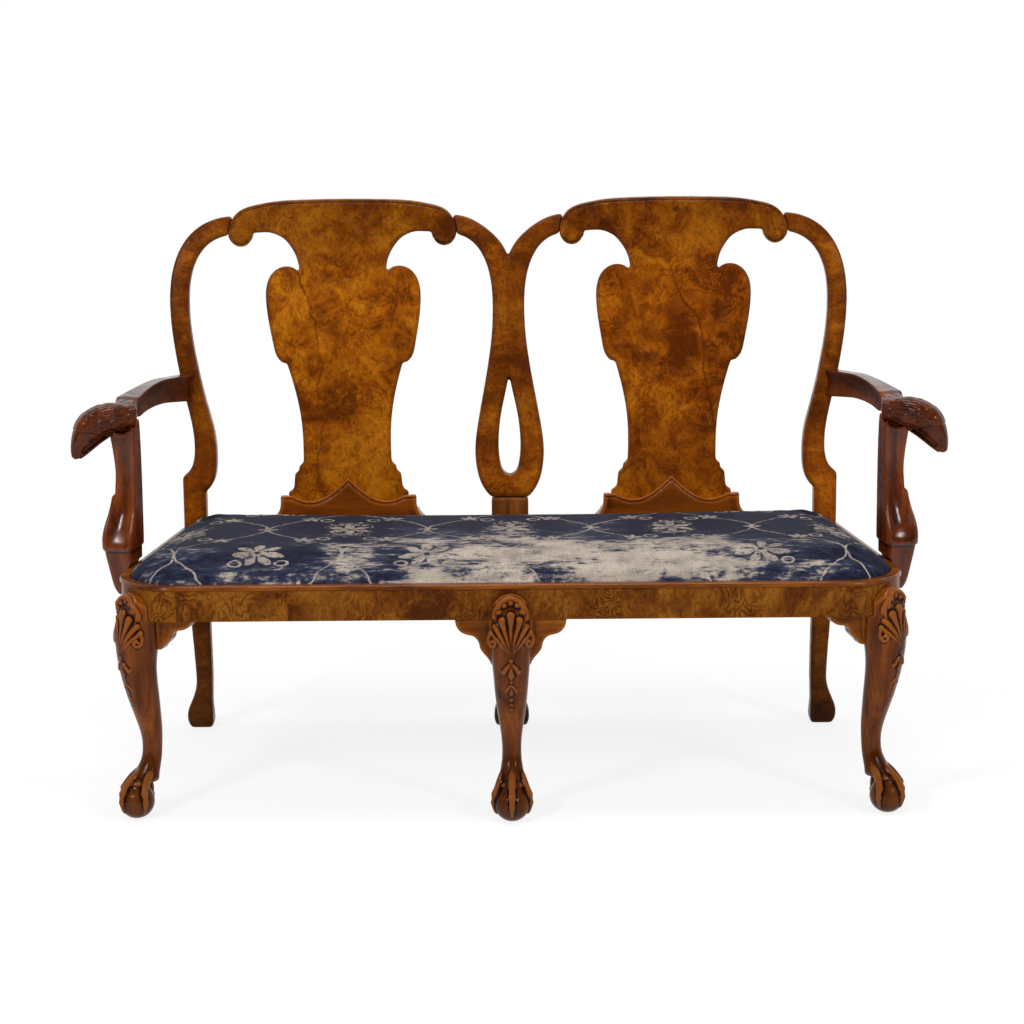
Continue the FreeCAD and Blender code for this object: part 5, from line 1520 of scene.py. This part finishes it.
@dataclass
class EagleArms:
    """The two arms, which end in eagles' heads, and their supports.

    Attributes:
        finishes: Materials.
        neck: Place of the right eagle's neck.
        heading: Plan direction of its head.
        step: Grid of the arm.
        support_step: Grid of the support.
        path: Plan place, height, width and depth of the arm at stations from the post to the neck.
        edge_round: Radius on the arm's edges.
        feather_columns: Feathers round half of the head.
        feather_length: Length of one feather.
        bar_front: Y of the front end of the arm's plain bar.
        turn: Angle of the seat's sides to the settee's depth, in degrees.
        shield: Half width of the support's front face at heights above the floor.
    """

    finishes: Finishes
    neck: Point = (665.4, -84.6, 669.0)
    heading: tuple[float, float] = (0.871, -0.491)
    step: float = 1.2
    support_step: float = 1.4
    path: tuple[tuple[float, ...], ...] = (
        (598, 262, 671, 28, 53), (600, 236, 672, 28, 53), (617, 190, 676, 28, 50), (639, 140, 680, 28, 47),
        (651, 68, 682, 31, 43), (660, 12, 681, 37, 40), (667, -28, 678.5, 45, 38), (669, -37, 678, 46, 38),
        (671.5, -50, 674.5, 42, 27))
    edge_round: float = 2.2
    feather_columns: float = 8.0
    feather_length: float = 23.0
    bar_front: float = -46.0
    turn: float = 6.2
    shield: tuple[tuple[float, float], ...] = (
        (430, 27.5), (446, 28.0), (495, 25.0), (550, 20.2), (610, 20.5), (643, 22.5), (660, 23.5))

    def build(self) -> None:
        """Carves the right arm and support, and mirrors them for the left."""
        arm = self.arm()
        support = self.support()
        for side in Side:
            flip = side is Side.LEFT

            def placed(points: Array) -> Array:
                """Points of the right side, mirrored for the left."""
                return points * np.array([side.value, 1, 1], np.float32)

            piece = show_field(f"{side.word}_eagle_arm", arm, self.finishes.arm, "red_walnut",
                               f"{side.word}_arm", place=placed, flip=flip)
            self.dull_inner(piece, self.finishes.arm_inner, side, self.bar_front * MM)
            piece = show_field(f"{side.word}_scrolled_support", support, self.finishes.support, "red_walnut",
                               f"{side.word}_arm_support", place=placed, flip=flip)
            self.dull_inner(piece, self.finishes.support_inner, side)

    def dull_inner(self, piece: bpy.types.Object, finish: Material, side: Side,
                   front: float = -math.inf) -> None:
        """Gives the inner face of a piece a duller polish.

        Args:
            piece: The arm or support.
            finish: The duller finish.
            side: Side that the piece is on.
            front: Y in front of which the piece keeps its polish, in metres.
        """
        polygons = piece.data.polygons
        normals = np.empty(len(polygons) * 3, np.float32)
        polygons.foreach_get("normal", normals)
        middles = np.empty(len(polygons) * 3, np.float32)
        polygons.foreach_get("center", middles)
        inward = -side.value * normals[0::3]
        piece.data.materials.append(finish)
        polygons.foreach_set("material_index", ((inward > 0.6) & (middles[1::3] > front)).astype(np.int32))

    def spot(self, ahead: float, aside: float, rise: float) -> Point:
        """Point so far ahead of the neck, to the head's outer side and up."""
        (a, b), (x, y, z) = self.heading, self.neck
        return (x + ahead * a - aside * b, y + ahead * b + aside * a, z + rise)

    def head_axes(self, carved: Field) -> tuple[Array, Array, Array]:
        """Coordinates of the grid in the head's frame: ahead, aside and rise."""
        x, y, z = carved.axes()
        a, b = self.heading
        ahead = (x - self.neck[0]) * a + (y - self.neck[1]) * b
        aside = -(x - self.neck[0]) * b + (y - self.neck[1]) * a
        return ahead, aside, z - self.neck[2]

    def sweep(self, carved: Field) -> Array:
        """Distances to the arm's own length: a flat-topped bar, hollowed on its inner side.

        Args:
            carved: Field whose grid is wanted.

        Returns:
            The distances.
        """
        x, y, z = carved.axes()
        x, y = x[:, :, 0], y[:, :, 0]
        stops = np.array(self.path, float)
        fine = np.linspace(0, len(stops) - 1, 90)
        line = np.stack([np.interp(fine, np.arange(len(stops)), column) for column in stops.T], 1)
        line = blurred(line, 12, (0,)).astype(float)
        best = np.full((x.shape[0], y.shape[1]), 1e9)
        found = [np.zeros_like(best) for _ in range(5)]
        for a, b in zip(line, line[1:]):
            way = b[:2] - a[:2]
            length = max(float(np.hypot(*way)), 1e-6)
            raw = ((x - a[0]) * way[0] + (y - a[1]) * way[1]) / length ** 2
            share = np.clip(raw, 0, 1)
            gap = (x - a[0] - share * way[0]) ** 2 + (y - a[1] - share * way[1]) ** 2
            nearer = gap < best
            best = np.where(nearer, gap, best)
            across = ((x - a[0]) * way[1] - (y - a[1]) * way[0]) / length
            news = [across, np.abs(raw - share) * length]
            news += [a[n] + share * (b[n] - a[n]) for n in (2, 3, 4)]
            found = [np.where(nearer, value, old) for value, old in zip(news, found)]
        across, past, middle, wide, tall = (value[:, :, None] for value in found)
        up = z - middle
        hollow = 5.0 * np.maximum(1 - (up / (0.42 * tall)) ** 2, 0)
        inner = np.where(across > 0, hollow, 0.0)
        edge = self.edge_round
        side = np.abs(across) + inner - 0.5 * wide + edge
        top = np.abs(up) - 0.5 * tall + edge
        end = past + edge - 0.01
        outside = np.sqrt(np.maximum(side, 0) ** 2 + np.maximum(top, 0) ** 2 + np.maximum(end, 0) ** 2)
        return (outside + np.minimum(np.maximum(side, top), 0) - edge).astype(np.float32)

    def feathers(self, carved: Field) -> None:
        """Cuts rows of pointed feathers over the head and neck, above the beak's line."""
        ahead, aside, rise = self.head_axes(carved)
        middle = -4.0 * smooth_step(10.0, 50.0, ahead) - 12.0 * smooth_step(50.0, 90.0, ahead)
        angle = np.arctan2(aside, rise - middle)
        flow = ahead + 3.0 * np.sin(2.0 * angle + 0.09 * ahead)
        column = angle * self.feather_columns / math.pi + 0.30 * np.sin(ahead / 9.0)
        number = np.floor(column)
        beside = column - number - 0.5
        along = flow / self.feather_length + 0.5 * np.mod(number, 2) + 0.62 * np.abs(beside)
        lift = np.mod(-along, 1.0)
        height = 1.3 * (lift - 0.5) - 1.2 * smooth_step(0.30, 0.5, np.abs(beside)) * (1.0 - 0.6 * lift)
        crown = smooth_step(94.0, 66.0, ahead)
        mask = smooth_step(-34.0, -8.0, ahead) * smooth_step(-1.0, -4.0, self.below_face(carved))
        mask = mask * (0.3 + 0.7 * crown)
        near = np.abs(aside) < 34.0
        carved.lift(np.where(near, height * mask, 0.0))

    def below_face(self, carved: Field) -> Array:
        """Distance below the slanting line between the feathered face and the beak."""
        ahead, _, rise = self.head_axes(carved)
        return (ahead - 94.0) * 0.246 - (rise + 15.0) * 0.969

    def slit(self, carved: Field, stops: Sequence[Point]) -> None:
        """Cuts a slot into both sides of the head, up to a thin wall in the middle.

        Args:
            carved: Field of the arm.
            stops: Distance ahead, rise and half width of the slot along its length.
        """
        ahead, aside, rise = self.head_axes(carved)
        gap = np.full(carved.shape, 1e3, np.float32)
        for a, b in zip(stops, stops[1:]):
            share, far = nearest(a[:2], b[:2], ahead, rise)
            gap = np.minimum(gap, np.sqrt(far) - (a[2] + share * (b[2] - a[2])))
        carved.cut(np.maximum(gap, np.abs(np.abs(aside) - 19.0) - 15.0), 1.0)

    def beak(self, carved: Field) -> None:
        """Adds the hooked tip and the lower jaw, and parts them with the mouth."""
        tip = [((78, 0, -38), 15.5), ((88, 0, -47), 12.0), ((93.5, 0, -57), 9.0), ((95, 0, -62.5), 7.0)]
        carved.chain([(self.spot(*place), r) for place, r in tip], 3.0)
        jaw = [((36, -24), 10.0), ((54, -35), 9.6), ((68, -46), 8.6), ((78, -54.5), 7.6), ((88, -62), 6.6)]
        for aside in (-6.0, 6.0):
            narrowing = [(self.spot(far, aside * (1.6 - far / 86), rise), r) for (far, rise), r in jaw]
            carved.chain(narrowing, 3.0)
        mouth = ((43, -31, 0.6), (56, -37.5, 1.3), (70, -46, 2.2), (79, -53, 2.2), (83, -56.5, 1.2))
        self.slit(carved, mouth)
        ahead, aside, _ = self.head_axes(carved)
        below = self.below_face(carved)
        lines = -1.1 * smooth_step(1.4, 0.0, np.abs(below + 3.2))
        lines -= 0.7 * smooth_step(1.3, 0.0, np.abs(below - 2.6))
        inside = (ahead > 26) & (np.abs(aside) < 40)
        carved.lift(np.where(inside, lines - 1.6 * smooth_step(-0.8, 1.6, below), 0.0))

    def arm(self) -> Field:
        """Right arm: the sweep from the post and the carved head."""
        carved = Field([cad_solid("right_arm")], self.step, 2.0)
        ahead, _, rise = self.head_axes(carved)
        carved.cut(ahead + 34.0, 12.0)
        # The nape rises behind the support, and the neck is a little lower than the arm's flat top.
        carved.cut(0.66 * (ahead + 12.0) + 0.75 * (rise + 27.0), 10.0)
        carved.lift(-3.5 * smooth_step(34.0, 0.0, ahead))
        self.beak(carved)
        self.feathers(carved)
        carved.values = soft_min(carved.values, self.sweep(carved), 5.0)
        for sign in (-1, 1):
            carved.chain([(self.spot(58, sign * 26.5, -3), 6.4)], 1.2, cut=True)
            carved.chain([(self.spot(58, sign * 21.0, -3), 4.2)], 0.4)
            nostril = self.spot(82, sign * 16.5, -36)
            for far, aside, up in ((80, 15.5, -31), (85, 14, -38), (79, 17, -40)):
                carved.chain([(nostril, 0.9), (self.spot(far, sign * aside, up), 0.8)], 0.4, cut=True)
        carved.blur(1)
        return carved

    def support(self) -> Field:
        """Right support: a hollow front face with a thin rim, ending in a shield over the rail."""
        carved = Field([cad_solid("right_arm_support")], self.support_step, 2.0)
        x, y, z = carved.axes()
        angle = math.radians(self.turn)
        dx, dy = x - carved.middle(0), y - carved.middle(1)
        across = dx * math.cos(angle) + dy * math.sin(angle)
        ahead = dx * math.sin(angle) - dy * math.cos(angle)
        heights, halves = zip(*self.shield)
        half = np.interp(z, heights, halves)
        # The shield's lower corners are round, and its rim ends in a small step on the outer edge.
        low = smooth_step(438.0, 478.0, z)
        inside = half - 3.0 - 7.0 * (1 - smooth_step(436.0, 458.0, z))
        dish = 8.0 * np.maximum(1 - (across / np.maximum(inside, 1.0)) ** 2, 0.0) * low
        front = smooth_step(3.0, 14.0, ahead)
        step = 3.4 * smooth_step(438.5, 434.5, z)
        set_in = 3.4 * smooth_step(527.0, 533.0, z) * smooth_step(650.0, 545.0, z)
        set_in = set_in * smooth_step(6.0, 18.0, across)
        carved.lift(-dish * front - step - set_in)
        carved.blur(1)
        return carved


@dataclass
class DropInSeat:
    """The lift-out seat: slip frame, webbing, base cloth and stuffed velvet cushion.

    Attributes:
        finishes: Materials.
        step: Grid of the cushion before it is simulated.
        under: Height of the cover's lower edge.
        shoulder: Radius on the cushion's upper edge.
        ceiling: Height of the hollow above the webbing, under the stuffing.
        rim: Width of the cover's turned-down rim round that hollow.
        held: Height above the lower edge that is held in the simulation.
        pressure: Pressure of the stuffing in the simulation.
        frames: Length of the simulation.
        most: Farthest that a point of the cover may move, in millimetres.
    """

    finishes: Finishes
    step: float = 6.0
    under: float = 396.0
    shoulder: float = 18.0
    ceiling: float = 413.0
    rim: float = 22.0
    held: float = 19.0
    pressure: float = 3.0
    frames: int = 20
    most: float = 6.0

    def build(self) -> None:
        """Builds the soft pieces and dresses the slip frame."""
        self.cushion()
        self.base_cloth()
        self.straps("webbing_crossways", 0)
        self.straps("webbing_lengthways", 1)
        dress(self.finishes.inner, "slip_frame_front", "slip_frame_back")
        sides = [f"{side.word}_slip_frame_side" for side in Side]
        dress(self.finishes.inner_backward, *sides, "slip_frame_bar")

    def cushion(self) -> None:
        """Velvet cushion, plumped by a cloth simulation."""
        nodes = ("seat_cover", "stuffing_pad")
        filling = nodes + ("base_cloth", "webbing_crossways", "slip_frame_front", "slip_frame_back",
                           "right_slip_frame_side", "left_slip_frame_side")
        whole = Field([cad_solid(n) for n in filling], 3.0, spare=45.0)
        whole.fill_inner(9.0)
        solid = np.minimum.accumulate(whole.values[:, :, ::-1], axis=2)[:, :, ::-1]
        whole.values = np.maximum(solid, self.under - 2 * self.shoulder - whole.axes()[2]).astype(np.float32)
        whole.values = whole.distances(*whole.surface(), 2 * self.shoulder)
        whole.round_outer(self.shoulder)
        whole.blur(2)
        coarse = Field([whole.surface()], self.step, spare=20.0)
        z = coarse.axes()[2]
        tray = np.maximum(z - self.ceiling, coarse.values + self.rim)
        coarse.values = np.maximum(np.maximum(coarse.values, self.under - z), -tray).astype(np.float32)
        points, quads = coarse.surface()
        mesh = make_mesh("seat_cushion", points, quads)
        piece = show("seat_cushion", mesh, self.finishes.velvet, "velvet", *nodes, body=Body.SEAT)
        self.plump(piece, points)
        smooth = piece.modifiers.new("smooth", "SUBSURF")
        smooth.levels = smooth.render_levels = 1

    def plump(self, piece: bpy.types.Object, rest: Array) -> None:
        """Swells the cover under pressure, with its lower edge held.

        Args:
            piece: The cushion.
            rest: Its points before the simulation, in millimetres.
        """
        held = piece.vertex_groups.new(name="held")
        low = rest[:, 2].min()
        held.add([int(n) for n in np.flatnonzero(rest[:, 2] < low + self.held)], 1.0, "REPLACE")
        cloth = piece.modifiers.new("cloth", "CLOTH")
        settings = cloth.settings
        settings.use_pressure = True
        settings.uniform_pressure_force = self.pressure
        settings.effector_weights.gravity = 0.0
        settings.vertex_group_mass = "held"
        settings.quality = 5
        scene = bpy.context.scene
        for number in range(1, self.frames + 1):
            scene.frame_set(number)
        moved = np.empty(len(rest) * 3, np.float32)
        evaluated = piece.evaluated_get(bpy.context.evaluated_depsgraph_get())
        evaluated.data.vertices.foreach_get("co", moved)
        piece.modifiers.remove(cloth)
        scene.frame_set(1)
        shift = moved.reshape(-1, 3) / MM - rest
        far = np.linalg.norm(shift, axis=1)
        shift *= np.minimum(1.0, self.most / np.maximum(far, 1e-6))[:, None]
        piece.data.vertices.foreach_set("co", ((rest + shift) * MM).astype(np.float32).ravel())
        piece.data.update()
        LOG.info("seat_cushion: cover moved %.1f mm at most", float(np.minimum(far, self.most).max()))

    def base_cloth(self) -> None:
        """Hessian stretched over the webbing."""
        points, _ = cad_solid("base_cloth")
        low, high = points.min(0), points.max(0)
        across = np.linspace(0, 1, 90)
        back = np.linspace(0, 1, 40)
        u, v = np.meshgrid(across, back, indexing="ij")
        y = low[1] + v * (high[1] - low[1])
        front = points[points[:, 1] < low[1] + 5]
        rear = points[points[:, 1] > high[1] - 5]
        half = (1 - v) * np.abs(front[:, 0]).max() + v * np.abs(rear[:, 0]).max()
        x = (2 * u - 1) * half
        z = np.full_like(x, 0.5 * (low[2] + high[2]))
        spots = np.stack([x, y, z], -1).reshape(-1, 3)
        n, m = u.shape
        index = np.arange(n * m).reshape(n, m)
        quads = np.stack([index[:-1, :-1], index[1:, :-1], index[1:, 1:], index[:-1, 1:]], -1).reshape(-1, 4)
        name, node = "base_cloth_stretched", "base_cloth"
        piece = show(name, make_mesh(name, spots, quads), self.finishes.hessian, node, node, body=Body.SEAT)
        thick = piece.modifiers.new("thickness", "SOLIDIFY")
        thick.thickness, thick.offset = 0.001, 0.0

    def straps(self, node: str, spread: int) -> None:
        """Webbing straps, set out by Geometry Nodes.

        Args:
            node: CAD node of the straps.
            spread: Axis along which the straps lie side by side.
        """
        boxes = sorted(loose_boxes(*cad_solid(node)), key=lambda box: box[0][spread])
        sizes = [high - low for low, high in boxes]
        centres = [0.5 * (low + high) for low, high in boxes]
        first, last = centres[0], centres[-1]
        length = 1 - spread
        growth = (sizes[-1][length] / sizes[0][length] - 1.0) / (len(boxes) - 1)
        pitch = (last - first) * MM / (len(boxes) - 1)
        tree = GeometryTree(node, Count=len(boxes), First=tuple(first * MM), Pitch=tuple(pitch),
                            Strap=tuple(sizes[0] * MM), Growth=float(growth), Cloth=self.finishes.jute)
        number = tree.add("GeometryNodeInputIndex", {})
        stretch = tree.plus(1.0, tree.times(number, tree.input("Growth")))
        axes = {length: stretch, spread: 1.0, 2: 1.0}
        shape = {"Size": tree.input("Strap"), "Vertices X": 12, "Vertices Y": 12}
        strap = tree.add("GeometryNodeMeshCube", shape)
        row = {"Count": "Count", "Start Location": "First", "Offset": "Pitch"}
        line = tree.add("GeometryNodeMeshLine", {key: tree.input(label) for key, label in row.items()})
        set_out = {"Points": line, "Instance": strap, "Scale": tree.add("ShaderNodeCombineXYZ", axes)}
        laid = tree.add("GeometryNodeInstanceOnPoints", set_out)
        mesh = tree.bake(laid, tree.input("Cloth"))
        show(f"{node}_woven", mesh, self.finishes.jute, "webbing", node, body=Body.SEAT)


@dataclass
class Studio:
    """Pale floor, soft lamps and the camera.

    Attributes:
        eye: Place of the camera, in metres.
        tilt: How far it looks down, in degrees.
        roll: How far it is turned about its own line of sight, in degrees.
        lens: Focal length, in millimetres on a 36 mm sensor.
        ambient: Strength of the world's light.
        behind_camera: Strength of the surroundings on the camera's side, as a reflection shows them.
        lamps: Name, place, aim, width and height, and watts of each soft box.
    """

    eye: Point = (0.0036, -4.49, 1.35)
    tilt: float = 11.0
    roll: float = -0.45
    lens: float = 90.07
    ambient: float = 0.34
    behind_camera: float = 0.10
    lamps: tuple[tuple[str, Point, Point, tuple[float, float], float], ...] = (
        ("key", (-2.1, -2.9, 2.6), (0.0, 0.0, 0.5), (0.5, 0.85), 50.0),
        ("fill", (2.3, -2.7, 2.3), (0.0, 0.0, 0.5), (0.45, 0.85), 34.0),
        ("top", (0.0, -0.3, 3.2), (0.0, 0.0, 0.3), (1.8, 0.6), 40.0),
    )

    def build(self) -> None:
        """Builds the studio."""
        self.camera()
        self.world()
        self.floor()
        for lamp in self.lamps:
            self.lamp(*lamp)

    def camera(self) -> None:
        """Camera at the photograph's place."""
        lens = bpy.data.cameras.new("camera")
        lens.lens, lens.sensor_width = self.lens, 36.0
        camera = bpy.data.objects.new("camera", lens)
        bpy.context.scene.collection.objects.link(camera)
        tilt = Matrix.Rotation(math.radians(90 - self.tilt), 4, "X")
        roll = Matrix.Rotation(math.radians(self.roll), 4, "Z")
        camera.matrix_world = Matrix.Translation(self.eye) @ tilt @ roll
        bpy.context.scene.camera = camera

    def rays(self, t: Tree, *kinds: str) -> Socket:
        """Socket that is 1 for a ray of any of the kinds."""
        total: Any = 0.0
        for kind in kinds:
            total = t.math("MAXIMUM", total, t.add("ShaderNodeLightPath", {}, f"Is {kind} Ray"))
        return total

    def world(self) -> None:
        """White surroundings that light softly; in a reflection they dim towards the camera's side."""
        world = bpy.data.worlds.new("studio")
        bpy.context.scene.world = world
        world.use_nodes = True
        t = Tree(world.node_tree)
        background = t.nodes["Background"]
        t.feed(background.inputs["Color"], (1, 1, 1, 1))
        way = t.parts(t.add("ShaderNodeTexCoord", {}, "Generated"))
        mirrored = t.span(way[1], -0.35, 0.45, self.behind_camera, 1.0, soft=False)
        glossy = {"Factor": self.rays(t, "Glossy"), "A": self.ambient, "B": mirrored}
        level = t.add("ShaderNodeMix", glossy, "Result")
        clear = {"Factor": self.rays(t, "Camera", "Transmission"), "A": level, "B": 1.0}
        t.feed(background.inputs["Strength"], t.add("ShaderNodeMix", clear, "Result"))

    def floor(self) -> None:
        """White floor that fades into the surroundings away from the settee."""
        mesh = bpy.data.meshes.new("floor")
        corners = [(-9, -7, 0), (9, -7, 0), (9, 9, 0), (-9, 9, 0)]
        mesh.from_pydata(corners, [], [(0, 1, 2, 3)])
        floor = bpy.data.objects.new("floor", mesh)
        bpy.context.scene.collection.objects.link(floor)
        t = NodeTree("pale_floor")
        t.feed(t.shader.inputs["Base Color"], (0.84, 0.84, 0.84, 1))
        t.shader.inputs["Roughness"].default_value = 0.9
        t.shader.inputs["Specular IOR Level"].default_value = 0.0
        # To the eye the floor is mostly even white, with the settee's shadow laid over it.
        shade = t.add("ShaderNodeBsdfDiffuse", {"Color": (0.24, 0.24, 0.24, 1)})
        glow = t.add("ShaderNodeEmission", {"Strength": 0.83})
        veil = t.add("ShaderNodeAddShader", {0: shade, 1: glow})
        far = t.add("ShaderNodeVectorMath", {0: t.vector("MULTIPLY", t.place, (0.62, 1.0, 0.0))}, "Value",
                    operation="LENGTH")
        white = t.add("ShaderNodeEmission", {"Strength": 1.0})
        pale = t.add("ShaderNodeMixShader", {0: t.span(far, 0.45, 1.2), 1: veil, 2: white})
        seen = self.rays(t, "Camera", "Glossy", "Transmission")
        whole = t.add("ShaderNodeMixShader", {0: seen, 1: t.shader.outputs[0], 2: pale})
        t.links.new(whole, t.nodes["Material Output"].inputs["Surface"])
        mesh.materials.append(t.material)

    def lamp(self, name: str, place: Point, aim: Point, size: tuple[float, float], power: float) -> None:
        """One soft box.

        Args:
            name: Name of the lamp.
            place: Where it stands.
            aim: Where it points.
            size: Width and height.
            power: Watts.
        """
        light = bpy.data.lights.new(name, "AREA")
        light.shape = "RECTANGLE"
        light.size, light.size_y = size
        light.energy = power
        lamp = bpy.data.objects.new(name, light)
        bpy.context.scene.collection.objects.link(lamp)
        lamp.location = place
        lamp.rotation_euler = (Vector(aim) - Vector(place)).to_track_quat("-Z", "Y").to_euler()


def main() -> None:
    """Builds the settee and its studio."""
    logging.basicConfig(level=logging.INFO, format="%(name)s %(relativeCreated)d ms %(message)s")
    bpy.context.scene.view_settings.view_transform = "Standard"
    Studio().build()
    finishes = Finishes()
    ChairBacks(finishes).build()
    SeatFrame(finishes).build()
    EagleArms(finishes).build()
    DropInSeat(finishes).build()


if __name__ == "__main__":
    main()
